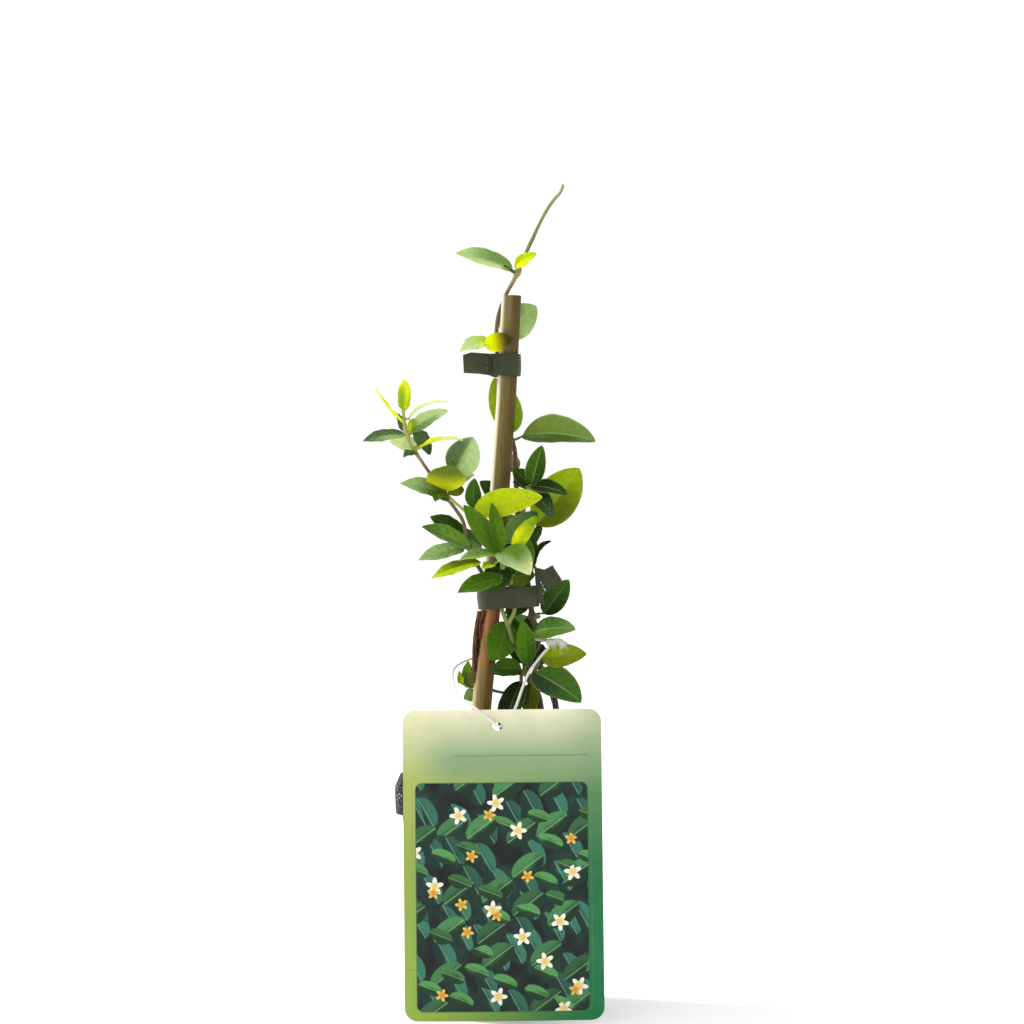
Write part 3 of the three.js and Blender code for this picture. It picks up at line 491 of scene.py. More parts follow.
# %% [markdown]
# ## Leaf finish
# A honeysuckle leaf is thin, softly hairy, and quilted between its side veins. Light falls on it
# and also comes through it, so a translucent shader is mixed in. The veins follow the blade, not
# the space round it. Each leaf carries its own coordinates for that: how far across, how far
# along, and millimetres for the fine net.

# %% Veins of a blade
VEIN_PAIRS = 6
VEIN_SLANT = 0.2
VEIN_SKEW = 0.02

veins, (blade, place), result = new_group(
    "veins", [("Blade", "Vector", NOWHERE), ("Place", "Vector", NOWHERE)], ["Midrib", "Side", "Net", "Quilt"]
)
blade = xyz(blade)
across = abs(blade[0])
climb = blade[1] - across * VEIN_SLANT + noise(place, 0.35, 2) * 0.03 + blade[0] * VEIN_SKEW
from_vein = abs((climb * VEIN_PAIRS).math("FRACT") - 0.5)
mesh_net = put(veins, "TexVoronoi", {"Vector": place, "Scale": 0.85}, feature="DISTANCE_TO_EDGE")
feed(result["Midrib"], ramped(across, 0.09, 0.02))
feed(result["Side"], ramped(from_vein, 0.09, 0.0) * ramped(across, 1.0, 0.55))
feed(result["Quilt"], ramped(from_vein, 0.0, 0.42))
feed(result["Net"], ramped(mesh_net["Distance"], 0.12, 0.0))
print("vein nodes:", len(veins.nodes))


# %% The leaf material
LIGHT_THROUGH = 0.38

leaf_skin, tree, shader = new_material("leaf", Roughness=0.5, Specular_IOR_Level=0.09)
tint = carried(tree, "tint", "Color")
place = carried(tree, "blade_mm")
marks = xyz(carried(tree, "marks"))
ribbed, netted = marks[0], marks[1]
vein = use_group(veins, Blade=carried(tree, "blade"), Place=place)
lighter = blended(0.3, tint, "#dcebb0")
mottle = ramped(noise(place, 0.55, 4, 0.6), 0.35, 0.75) * (ramped(netted, -0.05, 0.25) * 0.42)
ground = blended(mottle, tint, tinted(tint, 0.5, 0.55, 0.42))
grain = (vein["Net"] + ramped(noise(place, 5.0, 3, 0.7), 0.5, 0.8)) * netted
ground = blended(grain * 0.5, ground, lighter)
ground = blended(vein["Midrib"].math("MAXIMUM", vein["Side"] * 0.16) * ribbed, ground, lighter)
feed(shader["Base Color"], ground)
relief = vein["Quilt"] * 0.6 - vein["Midrib"] * 0.7 - vein["Net"] * netted * 0.35
bumped(shader, relief * 0.5 + 0.5, 0.55, 0.5)
on_it = Wire(tree, tree.nodes["Principled BSDF"].outputs[0])
through = put(tree, "BsdfTranslucent", {"Color": tinted(ground, 1.3, 1.25, 0.35)})[0]
both = put(tree, "MixShader", {0: LIGHT_THROUGH, 1: on_it, 2: through})[0]
feed(tree.nodes["Material Output"].inputs["Surface"], both)
print("leaf nodes:", len(tree.nodes))

# %% [markdown]
# ## Bark
# Young shoots are smooth and green, older ones reddish brown, and the oldest wood peels in
# strips. The colour changes along each stem, so it is set at heights and carried on the mesh.

# %% The stem material
bark, tree, shader = new_material("bark", Roughness=0.6)
fibre = use_group(streaks, Vector=carried(tree, "blade_mm"), Across=(1.6, 1.6, 0.12), Contrast=1.5)["Value"]
tint = carried(tree, "tint", "Color")
crack = ramped(fibre, 0.62, 0.38) * xyz(carried(tree, "marks"))[0]
feed(shader["Base Color"], blended(crack, tint, tinted(tint, 0.3, 0.26, 0.22)))
bumped(shader, fibre, 0.5, 0.5)
print("bark nodes:", len(tree.nodes))

# %% [markdown]
# ## One leaf as a surface
# The blade is a thin lens-edged slab: across it runs v from -1 to 1, along it t from 0 to 1.
# Ovate leaves have a round foot and a drawn-out tip, which a product of two powers gives. A fold
# along the midrib, an arch, a sideways sweep and a wavy margin then make each leaf its own.

# %% A leaf's row, tones and outline
# The tones mix the leaves' own colours with painted light. bud and lime are partly young leaf colour and
# partly painted glow of the sun coming through the leaf. white, cream, pale and mist are partly grey down and
# partly painted sheen on faces turned up. dark, night and teal are partly painted shade on leaves out of the
# sun, and umber is painted shade.
TONES = {
    "bud": "#eaf000", "lime": "#ccdc00", "spring": "#98bc00", "yellow": "#a6be00", "lawn": "#8a9a14",
    "olive": "#6e7c00", "grass": "#5a8800", "green": "#447004", "leaf": "#52802a", "deep": "#305600",
    "dark": "#1c3c00", "night": "#122600", "sage": "#84a860", "mist": "#a8c488", "pale": "#c8dfaa",
    "slate": "#5a7a4c", "grey": "#3c5836", "brown": "#4c3416", "white": "#e0eaca", "fresh": "#7aa82c",
    "teal": "#2a4e22", "moss": "#4a7400", "cream": "#f2f6c8", "umber": "#4e4212", "hedge": "#869c46",
    "holly": "#607c34",
}
# The pale margin is partly the leaf's hairy edge and partly a painted rim of backlight.
HAIRY_AND_BACKLIT_MARGIN_TONE = "#dfe9b8"
UNDER_TONE = "#9db488"
STALK_TONE = "#8c9a4a"
USUAL = {"fold": 14, "arch": 1.5, "sweep": 0, "rib": 0.45, "net": 0.3, "curl": 0, "turn_at": 0.55}


def leaf(base, tip, width, face, looks, **ways):
    """A row of a leaf table. What it doesn't say is as in USUAL: fold in degrees; arch, sweep
    and curl in mm; how strongly rib and net show; and where along it the tip's tone begins."""
    base, tip, face = (np.array(v, float) for v in (base, tip, face))
    return {**USUAL, **ways, "base": base, "tip": tip, "width": width, "face": face, "looks": looks.split()}


def outline(t):
    """Half width as a share of the widest: t^0.55 times (1-t)^0.75, over its own greatest value."""
    return t**0.55 * (1 - t) ** 0.75 / 0.4124


def soft_step(x, low, high):
    """0 below, 1 above, and x^2 (3 - 2x) between."""
    x = np.clip((x - low) / (high - low), 0, 1)
    return x * x * (3 - 2 * x)


def nearest(stems, point):
    """The point of the stems' given lines that is nearest to a leaf's foot."""
    found = []
    for path, *_ in stems:
        a, b = np.asarray(path[:-1], float), np.asarray(path[1:], float)
        share = np.clip(((point - a) * (b - a)).sum(1) / ((b - a) ** 2).sum(1), 0, 1)
        found.append(a + share[:, None] * (b - a))
    found = np.concatenate(found)
    return found[np.argmin(np.linalg.norm(found - point, axis=1))]


# %% Blade and stalk
ROWS = 44
COLUMNS = 17
FOOT_T = 0.02
SLAB_MM = 0.42
THIN_HALF = 0.16
STALK_RADIUS = 0.55
STALK_FROM = 0.8
HAIRY_AND_BACKLIT_MARGIN_SHARE = 0.28
UNDER_SHARE = 0.08
LEAF_APART = 7.3


def blade_tint(one, v, t, face):
    """The blade's colours: left half to right half across the midrib, then towards the tip's
    tone along it, a pale margin, and a greyer underside. The half and tip tones also paint
    where the blade is lit through by the sun or lies in shade, and the pale margin is partly
    the hairy edge and partly a painted backlit rim."""
    left, right, end = (linear(TONES[name]) for name in one["looks"])
    layers = [
        (right, soft_step(v, -0.25, 0.25)),
        (end, soft_step(t, one["turn_at"] - 0.2, one["turn_at"] + 0.4)),
        # Pale margin: hairy edge and painted backlit rim.
        (linear(HAIRY_AND_BACKLIT_MARGIN_TONE), HAIRY_AND_BACKLIT_MARGIN_SHARE * soft_step(np.abs(v), 0.9, 1.0) * (0.3 + one["rib"])),
        (linear(UNDER_TONE), UNDER_SHARE * (face < 0)),
    ]
    tint = left
    for tone, share in layers:
        tint = tint * (1 - share[..., None]) + tone * share[..., None]
    return np.insert(tint, 3, 1.0, axis=-1)


def stalk_body(one, foot, along):
    """A bent tube from the stem to the blade's foot, in the mean of its two tones."""
    reach = one["base"] - foot
    way = np.linalg.norm(reach)
    u = np.linspace(0, 1, 9)[:, None]
    bow = (along * 0.35 - unit(reach) * 0.2) * min(2.0, way / 3)
    into_blade = 0.03 * np.linalg.norm(one["tip"] - one["base"]) + 0.4
    line = np.concatenate([foot + reach * u + bow * np.sin(np.pi * u), [one["base"] + along * into_blade]])
    left, right = (linear(TONES[name]) for name in one["looks"][:2])
    flat = np.zeros((len(line), 1))
    return tube(
        line, STALK_RADIUS * np.linspace(1.15, 0.8, len(line)), 8, blade_mm=line,
        tint=flat + [*(linear(STALK_TONE) / 2 + (left + right) / 4), 1.0],
        blade=flat + (0.5, 0.5, 1), marks=flat + (0, 0, 0),
    )


def leaf_bodies(stems, one, seed):
    """A leaf's blade and stalk. With half width h = width/2 times the outline, the blade's
    point at (v, t) is the foot + t along + (sweep 4t(1-t) + v h cos fold) sideways +
    (arch 4t(1-t) + |v| h sin fold + curl t^3 + a wave that grows with v squared) upwards. The
    upper face runs from v = -1 to 1 and the under face back again, half a slab apart."""
    chord = one["tip"] - one["base"]
    length = np.linalg.norm(chord)
    along = chord / length
    up = unit(one["face"] - along * (one["face"] @ along))
    side = np.cross(along, up)
    t = (0.5 - 0.5 * np.cos(np.pi * np.linspace(FOOT_T, 1, ROWS)))[:, None]
    v = np.sin(np.pi / 2 * np.linspace(-1, 1, COLUMNS))
    v = np.concatenate([v, v[::-1]])[None]
    face = np.repeat([1.0, -1.0], COLUMNS)[None]
    t, v, face = np.broadcast_arrays(t, v, face)
    half = np.maximum(one["width"] / 2 * outline(t), THIN_HALF)
    fold = math.radians(one["fold"])
    bulge = 4 * t * (1 - t)
    spread = np.sqrt(v * v + 0.012) - 0.11
    wave = 0.35 * v * v * np.sin(2 * np.pi * (1.5 * t + 0.2 * v))
    frill = 0.16 * np.abs(v) ** 3 * np.sin(2 * np.pi * (4.3 * t + 0.37 * seed)) * bulge
    climb = (t - VEIN_SLANT * np.abs(v) + VEIN_SKEW * v) * VEIN_PAIRS
    quilt = 0.13 * np.cos(2 * np.pi * climb) * np.abs(v) * (1 - v * v) * 4 * bulge
    slab = SLAB_MM * (1 - 0.75 * v**4) * (0.45 + 0.55 * bulge)
    slab = slab + 0.5 * np.exp(-((v / 0.09) ** 2)) * (face < 0) * (1 - t)
    lift = one["arch"] * bulge + spread * half * math.sin(fold) + wave + frill + quilt
    lift = lift + face * slab / 2 + one["curl"] * t**3
    push = one["sweep"] * bulge + v * half * math.cos(fold)
    rings = one["base"] + along * (t * length)[..., None] + side * push[..., None] + up * lift[..., None]
    blade = closed_rings(
        rings, tint=blade_tint(one, v, t, face), blade=np.stack([v, t, face], axis=-1),
        blade_mm=np.stack([v * half, t * length, 0 * t + seed * LEAF_APART], axis=-1),
        marks=0 * rings + (one["rib"], one["net"], 0),
    )
    foot = nearest(stems, one["base"])
    if np.linalg.norm(one["base"] - foot) <= STALK_FROM:
        return [blade]
    return [blade, stalk_body(one, foot, along)]


# %% Stems
STEM_STEP = 0.6
STEM_SIDES = 18
STEM_APART = 3.1
JOINT = {"swell": 0.28, "reach": 1.5, "within": 2.5}


def stem(path, radii, stops, rough=0.3, twist=0.0):
    """A stem: its points, its radius at either end, (height, colour) stops, and how rough and
    twisted its bark is."""
    return path, radii, stops, rough, twist


def stem_body(one, joints, seed):
    """A stem's tube. Its radius goes evenly from one end to the other, swells by a bell curve
    near each leaf foot, and a twisted stem gets two ridges that wind up it."""
    path, radii, stops, rough, twist = one
    line = smooth_line(path, STEM_STEP)
    radius = np.linspace(*radii, len(line))
    for joint in joints:
        away = np.linalg.norm(line - joint, axis=1)
        bell = JOINT["swell"] * np.exp(-((away / JOINT["reach"]) ** 2))
        radius = radius * (1 + bell * (away.min() < JOINT["within"]))
    turn, way = np.meshgrid(angles(STEM_SIDES), np.arange(len(line)) * STEM_STEP)
    ridge = 0.1 * np.cos(2 * turn - way * 0.35) + 0.05 * np.sin(5 * turn + way * 0.5 + seed)
    ridge = (1 + twist * ridge) * (1 + 0.04 * np.sin(way * 1.7 + seed) * np.sin(turn + seed))
    heights, codes = [h for h, _ in stops], np.array([linear(c) for _, c in stops])
    tint = np.stack([np.interp(line[:, 2], heights, codes[:, k]) for k in range(3)], axis=1)
    rings = rings_round(line, radius[:, None] * ridge)
    return closed_rings(
        rings, tint=np.insert(tint[:, None] + 0 * rings, 3, 1.0, axis=-1),
        blade_mm=np.stack([turn * radii[0], 0 * turn + seed * STEM_APART, way], axis=-1),
        marks=0 * rings + (rough, 0, 0),
    )


def dress(node, stems, leaves):
    """The finer stems and leaves that stand for one leafy node."""
    joints = [nearest(stems, one["base"]) for one in leaves]
    woods = [stem_body(one, joints, i) for i, one in enumerate(stems)]
    new_piece(node + ".stems", woods, bark, node)
    blades = [body for i, one in enumerate(leaves) for body in leaf_bodies(stems, one, i)]
    new_piece(node + ".leaves", blades, leaf_skin, node, sharp=70)


# %% [markdown]
# ## The climbing stem
# It comes up from the soil as twisted wood, passes through the lower tie, runs up behind the
# cane, and leaves it at the top as a thin bare shoot. Its leaves stand in pairs, so the tables
# go up the stem pair by pair. Each row gives foot, tip, width, the way that the upper face
# looks, and three tones: left half, right half and tip. The tones also paint the light on each
# leaf: bright yellow where the sun comes through it, darker where it lies in shade.

# %% Climber and old wood
CLIMBER = stem(
    [
        (21.5, 7, 60), (20.5, 6, 103.5), (19.5, 5, 119), (19, 4, 130.5), (17.5, 3, 137.5),
        (14.5, 2, 142.5), (12.5, 1, 148.5), (14.5, 2, 154), (17.5, 4, 158.5), (17.5, 4, 164.5),
        (15.5, 3, 170.5), (14.5, 3, 177.5), (13, 4, 187.5), (11.5, 5, 198.5), (9.5, 6, 211.5),
        (8.5, 6.5, 225), (8, 6.5, 237), (7.5, 6.5, 245), (5.5, 8, 251), (3.5, 8.6, 262.5),
        (1.5, 7.6, 276), (0, 5.6, 288), (-0.6, 4.4, 294.5), (-0.2, 4, 300), (1, 4.6, 306),
        (3.8, 5.1, 313.4), (6.3, 3.4, 318), (8, 1.6, 321), (9.5, 1, 324), (10, 2, 326.5),
        (12, 3, 330.5), (15, 4, 337), (19, 5, 345.5), (22.5, 5, 352), (25.5, 5, 356),
        (28, 5, 359), (29, 5, 362),
    ],
    (1.75, 0.7),
    [
        (60, "#3a2a1c"), (150, "#4a3420"), (165, "#4d4a1c"), (185, "#5b5a24"), (230, "#7a4a2c"),
        (250, "#8a4e34"), (290, "#8f6a52"), (312, "#6b4f2e"), (320, "#a98d62"), (328, "#7a7a32"),
        (345, "#8a8a4e"), (362, "#9c9a62"),
    ],
    0.7, 0.8,
)
OLD_WOOD = stem(
    [
        (28, 16, 60), (27.5, 15.5, 89), (27, 14, 116), (26, 12, 130), (24, 10, 138.5),
        (21, 7, 145.5), (17.5, 4, 150), (13.5, 1.5, 150),
    ],
    (1.9, 1.5), [(60, "#3c1f17"), (140, "#4a241a"), (150, "#40301c")], 1.0, 1.6,
)
LOW_TWIG = stem(
    [(17, 3, 137.5), (10, 9, 136), (1, 11, 137.5), (-7, 9.5, 139.5), (-14, 7, 140.5)],
    (0.8, 0.6), [(130, "#5d5a2c"), (145, "#74803a")],
)
CLIMBER_LEAVES = [
    leaf((6.5, 1, 324), (-18.5, -7, 330.5), 12, (0.1, -0.75, 0.66), "white sage pale",
         fold=24, arch=1, rib=1, net=1),
    leaf((7.6, -1.6, 325.2), (17, -3, 331), 6.5, (-0.3, -0.9, 0.5), "lime bud lime",
         fold=8, arch=0.6, rib=0.2, net=0),
    leaf((6.5, 0, 323), (2.5, -5, 325), 3, (0, -0.5, 0.8), "deep green deep", arch=0.5),
    leaf((-0.6, 1.5, 291), (-16.5, -5, 287.5), 11.5, (-0.1, -0.6, 0.8), "bud lime pale",
         arch=2.5, fold=12, turn_at=0.35, net=0.1),
    # Painted light: the bud half is painted glow of sun through the leaf, and the umber tip is painted shade
    # where the leaf lies over the cane and no sun comes through.
    leaf((-5.5, -5.4, 290.4), (6.8, -6.8, 293.4), 8.5, (0, -1, 0.1), "bud bud umber",
         fold=8, arch=0.8, turn_at=0.42, rib=0.1, net=0),
    leaf((2.5, 8.5, 295.5), (17.2, 9, 308.6), 16, (-0.1, -1, 0.2), "mist pale mist", fold=8, rib=1, net=0.5),
    leaf((7.5, 10.5, 253), (-1.5, 11, 277), 14, (0, -1, 0.1), "yellow spring yellow",
         fold=6, arch=-0.5, net=0.6),
    leaf((11, 6, 251), (43, -4, 248.5), 18.5, (0.05, -0.75, 0.6), "hedge holly sage",
         fold=25, arch=3, rib=1, net=0.4, turn_at=0.75),
    leaf((2.5, 10, 222.5), (-8, 8, 231), 8, (0, -1, 0.3), "deep dark deep"),
    leaf((8, 9.5, 235), (1, 26, 242), 10, (-0.2, -0.1, 0.95), "green leaf green", fold=18),
    leaf((10, 9, 209), (16, 27, 203), 12, (0.2, 0.2, 0.95), "green deep green", fold=16),
    leaf((8, 8, 212), (-6, 22, 215), 11, (-0.3, 0.1, 0.95), "leaf green leaf", fold=16),
    leaf((13, 7, 188), (3, 25, 191), 12, (0, 0.2, 0.95), "green leaf deep", fold=16),
    leaf((15, 8, 171), (10, 27, 164), 13, (0, 0.3, 0.9), "leaf green leaf", fold=16),
    leaf((11, 5.5, 150.5), (4.5, 6.5, 172.5), 10.5, (0.1, -1, 0.1), "deep deep green", rib=0.2),
    leaf((12.6, 9.5, 154.5), (15, 9.7, 172), 10, (0, -1, 0), "dark deep dark", arch=0, rib=0.2),
    leaf((16.2, 7.2, 149.6), (20, 7.4, 159), 9, (0, -1, 0), "teal teal dark", rib=0.2),
    leaf((13, 0.5, 178.5), (3.5, -2.6, 172.6), 9, (0, -1, 0.2), "deep moss deep", rib=0.2),
    leaf((11, 0, 197.5), (9.4, -4.5, 183), 11, (0, -1, 0.1), "grass deep grass", fold=8, rib=0.3),
    leaf((14.5, 1, 203), (18.5, -0.5, 214), 4.5, (0.6, -0.8, 0), "dark deep dark"),
    leaf((12.2, 2.4, 190.5), (12.6, -2, 212), 10.5, (0.2, -0.95, 0), "green deep deep", fold=12, rib=0.2),
    leaf((16.4, 2.2, 192.8), (23, -0.8, 205), 7, (-0.7, -0.5, 0.4), "olive brown brown",
         arch=2.2, fold=30, curl=-0.8, rib=0.4, turn_at=0.5),
    leaf((20.5, 4.2, 172.5), (31.5, 3.6, 187.5), 11, (0.1, -1, 0.2), "deep dark green"),
    leaf((15.6, -0.4, 164.6), (34.2, -9, 166.3), 12, (0, -0.8, 0.6), "leaf fresh sage", fold=12, rib=1),
    leaf((-12, 7.5, 140), (-13, 5, 151.5), 6.5, (-0.3, -1, 0), "slate olive fresh"),
    leaf((-16, 6, 141.5), (-17, 3, 147.5), 3, (0, -1, 0), "spring lime spring"),
    leaf((-9, 9.8, 136.5), (-15, 7.5, 134.5), 7, (0, -0.9, 0.4), "sage mist sage"),
]
dress("vine_climbing_stem", [CLIMBER, OLD_WOOD, LOW_TWIG], CLIMBER_LEAVES)

# %% [markdown]
# ## The two front shoots
# One leans out to the left and ends in a closed bud, the other carries the bright cluster in
# front of the cane. Young leaves are thin and yellow, older ones green with a grey down. Their
# brightest yellow is also painted glow of the sun coming through the young leaves.

# %% Left and front shoots
GREEN_SHOOT = [(150, "#5d6a24"), (170, "#8a9050"), (192, "#7f8c36"), (220, "#8a8a3c")]
LEFT_SHOOT = stem(
    [
        (12.8, 1, 151), (9.8, -3.6, 154.6), (7, -5.5, 160.5), (4.5, -6, 168), (2, -6.5, 174.5),
        (-0.8, -6.7, 182.5), (-2.2, -7, 186), (-6, -10.2, 190), (-10, -11.5, 196.5),
        (-13, -12.5, 204), (-15, -13.5, 213.5), (-18.5, -14, 219), (-22.5, -15, 224.5),
        (-26, -14, 230.5), (-29.5, -13.5, 234.5), (-34, -13, 241), (-37.5, -12.5, 246),
        (-39.5, -12, 251.5), (-40.5, -12, 256), (-41, -12, 262),
    ],
    (1.05, 0.6),
    [
        (150, "#5d6a24"), (175, "#7d8648"), (186, "#4c5420"), (205, "#6a5a30"), (222, "#7b6b36"),
        (236, "#6e4a34"), (246, "#a3a250"), (262, "#a8b070"),
    ],
)
LEFT_TWIG = stem(
    [(-22.5, -15, 224.5), (-19, -15.5, 222), (-15.5, -16, 219), (-10, -17, 214)],
    (0.75, 0.6), [(214, "#a8ac52"), (225, "#b0b468")],
)
FRONT_SHOOT = stem(
    [
        (4.5, -6, 168), (7.5, -6.5, 174.5), (7, -6.6, 180.5), (6.2, -7.2, 186),
        (2.8, -14.5, 192.5), (1, -20, 198.5), (-2.5, -18, 206), (-6, -16, 213), (-10, -15, 218.5),
    ],
    (0.95, 0.65), GREEN_SHOOT,
)
FRONT_LEAVES = [
    leaf((-41, -12.5, 262), (-40.5, -14.5, 275.5), 6.4, (-0.5, 0.8, 0), "bud spring bud",
         fold=25, arch=-1, rib=0.2, net=0, turn_at=0.6),
    leaf((-40.5, -11.5, 262), (-40, -10, 275), 6.4, (0.5, -0.8, 0), "spring lime bud",
         fold=25, arch=-1, rib=0.2, net=0, turn_at=0.6),
    leaf((-40, -12, 255.5), (-53, -13, 271), 5, (0.78, 0, 0.63), "bud lime bud",
         fold=22, arch=-1, rib=0.3, net=0),
    leaf((-39, -11, 258), (-21.5, -9, 265.5), 5, (-0.35, -0.1, 0.93), "white cream cream", fold=22, arch=2.5),
    leaf((-38, -11, 252.5), (-21.5, -14, 261.5), 8.5, (-0.3, -0.8, 0.5), "pale sage pale", net=1),
    leaf((-37, -10, 253), (-29.5, -7, 242.5), 8, (0.4, -0.8, 0.4), "slate slate grey", net=0.8, rib=0.2),
    leaf((-40.5, -12, 251), (-58.5, -17, 248), 7, (0.1, -0.75, 0.65), "mist slate slate", net=1),
    leaf((-34.5, -9, 246), (-47, -7, 248.5), 7, (0, 1, 0.2), "white pale white", fold=6, net=0.8),
    leaf((-38, -13, 251), (-36.5, -17, 258), 4, (0, 0.9, 0.4), "spring lime spring"),
    leaf((-41, -10, 253), (-44.5, -6, 261), 4, (0.3, 0.9, 0), "grey grey grey"),
    leaf((-35.5, -13, 242.5), (-40.5, -20, 241), 5.5, (0, -0.6, 0.8), "grey slate slate", net=0.6),
    leaf((-34.5, -13, 245), (-15, -17, 248.5), 6.5, (-0.1, -0.2, 0.97), "bud bud cream",
         fold=24, arch=2, net=0),
    leaf((-18.5, -13, 234), (-10.5, -14, 250), 16, (0.1, -1, 0.1), "slate pale pale",
         fold=20, arch=0.5, rib=1, net=1.4, turn_at=0.9),
    # Painted light: the bright bud foot is painted glow of sun through the leaf, and the olive tip is painted
    # shade on its upper part.
    leaf((-22.5, -15, 226.5), (-21.5, -27, 237.5), 18, (0, 0.6, 0.8), "bud bud olive",
         arch=-1.5, rib=0.1, net=0, turn_at=0.4),
    leaf((-21, -16.5, 222.8), (-42, -23, 229.6), 9.5, (0.1, -0.75, 0.6), "moss olive mist",
         sweep=1.2, turn_at=0.45, net=0.6),
    leaf((-22.5, -15, 225), (-26.5, -27, 222), 9, (0, -0.5, 0.85), "olive moss moss"),
    leaf((-21, -14, 225), (-15.5, -9, 229), 7, (0.2, -0.9, 0.3), "olive olive deep"),
    leaf((-16.5, -12, 230), (-10, -8, 233.5), 4.5, (0, -0.7, 0.7), "pale mist pale"),
    leaf((-14, -9, 206), (-29.5, -6, 215.5), 9, (0, -0.8, 0.6), "dark deep deep"),
    leaf((-12, -14, 201.5), (-33, -19, 211), 9.5, (0, -0.75, 0.65), "sage fresh leaf",
         fold=22, rib=0.6, net=0.8),
    leaf((-7, -10, 202), (-21, -7, 208.5), 9, (0, -0.8, 0.55), "sage slate slate"),
    leaf((-14.5, -15, 201.5), (-34, -23, 196.5), 8.5, (0, -0.8, 0.6), "sage mist mist", net=0.5),
    leaf((-7.5, -15, 195.5), (-28.5, -21, 188.5), 8, (0.1, -0.6, 0.75), "lime olive lime"),
    leaf((-10, -14, 219), (-10, -15, 232), 7.5, (-0.2, -1, 0), "green deep green"),
    leaf((4.6, -4.5, 169), (-2.8, -7.4, 152.3), 14, (0.1, -1, 0.1), "green moss grass",
         fold=8, arch=0.3, sweep=-0.8, rib=0.2),
    leaf((-10, -17, 218), (19.5, -22, 224), 13, (0.1, -0.9, 0.3), "lime lime lime", arch=2, rib=0.3),
    leaf((0.5, -22, 200), (-14.5, -26, 220.5), 9.5, (0.1, -1, 0.15), "grass moss grass", fold=18, rib=0.15),
    leaf((1, -22, 200), (-2.5, -25, 221.5), 7.5, (0.2, -1, 0), "moss grass grass", fold=28, rib=0.15),
    leaf((1, -22, 198.5), (-16.5, -29, 196.5), 7.5, (0, -0.6, 0.8), "spring sage pale",
         fold=26, net=0.8, turn_at=0.8),
    leaf((2, -18, 188.5), (-17, -25, 182.5), 10, (0, -0.75, 0.65), "grass moss grass", fold=16, rib=0.5),
    leaf((-2, -21, 194), (-6.5, -27, 192.5), 5, (0, -0.7, 0.7), "lime spring lime"),
    leaf((1, -21.5, 200), (14.4, -30, 190.6), 16.5, (0.3, -0.8, 0.5), "fresh pale cream",
         fold=24, rib=0.5, turn_at=0.6),
    leaf((7, -19.5, 201.5), (17, -19, 215.7), 7, (-0.1, -1, 0.1), "bud lime spring", rib=0.3),
    leaf((4.8, -13, 204), (17.5, -11, 217.2), 12, (-0.2, -0.9, 0.3), "sage sage slate", net=0.6),
    leaf((2, -14.5, 195), (-1.5, -16, 182.8), 13, (0, -1, 0.2), "dark dark deep", rib=0.2),
    leaf((8, -7.8, 190.5), (13.8, -9.5, 206), 11, (0.2, -1, 0.1), "deep green grass", rib=0.2),
    leaf((3.5, -10, 198.5), (3.5, -8, 215), 9, (0, -1, 0.1), "deep dark olive"),
    leaf((1.5, -6.9, 188.6), (16.5, -7.4, 190), 10, (0.05, -1, 0.1), "deep olive deep", fold=6, arch=0),
]
dress("vine_front_shoots", [LEFT_SHOOT, LEFT_TWIG, FRONT_SHOOT], FRONT_LEAVES)

# %% [markdown]
# ## The right shoot and the low sprays
# These are older leaves, dark and smooth, and their pale midribs stand out most.

# %% Right shoot
RIGHT_SHOOT = stem(
    [(9.5, 6, 211.5), (11, 1, 216), (12.5, -4, 222), (15, -6.5, 228)],
    (1, 0.8), [(210, "#5d6430"), (228, "#9aa56a")],
)
RIGHT_LEAVES = [
    leaf((15, -6, 229), (19.5, -8, 246.5), 9, (-0.1, -1, 0.1), "green deep green", rib=1),
    leaf((15.5, -7, 228.5), (30.5, -16, 225), 8.5, (0, -0.8, 0.6), "dark dark deep", fold=18, rib=1),
    leaf((13.5, -6, 229), (7, -5.5, 236), 7.5, (0.1, -0.9, 0.4), "dark deep deep"),
    leaf((13, -6.5, 227.5), (6.5, -7, 230.5), 4.5, (0, -0.8, 0.6), "grey dark dark"),
    leaf((15.5, -8, 226.5), (24, -13, 215), 9, (0.3, -0.9, 0.2), "dark deep grey", net=0.8),
    leaf((15.5, -7, 228.5), (20.5, -9, 228.5), 2.4, (0, -0.8, 0.6), "mist sage mist", arch=0.3),
    leaf((17, -4, 211.8), (36.3, 4, 236.6), 19.5, (0.1, -1, 0.1), "yellow olive yellow", fold=8),
]
dress("vine_right_shoot", [RIGHT_SHOOT], RIGHT_LEAVES)

# %% Low sprays
LEFT_SPUR = stem(
    [(13, 1.5, 146.6), (11.8, -3.2, 147.6), (10.6, -5.2, 146), (10.4, -5.6, 142.5)],
    (0.9, 0.7), [(140, "#4d5a20"), (150, "#5d5a2c")],
)
LOW_LEFT_LEAVES = [
    leaf((10.5, -6, 148.2), (-3.2, -13.5, 148.4), 10, (0.1, -0.85, 0.5), "deep green deep", fold=22, rib=0.3),
    leaf((13, -5.6, 150.5), (10.6, -11.5, 170.5), 9, (0.3, -1, 0), "grass green grass", rib=0.3),
    leaf((9.5, -3.5, 148), (-2.5, -8.6, 146.5), 8, (0, -0.8, 0.6), "teal deep teal"),
    leaf((10.5, -5, 143), (2, -14, 121), 11.5, (-0.3, -0.9, 0.2), "dark night olive", rib=0.3, turn_at=0.75),
]
dress("spray_base_left", [LEFT_SPUR], LOW_LEFT_LEAVES)

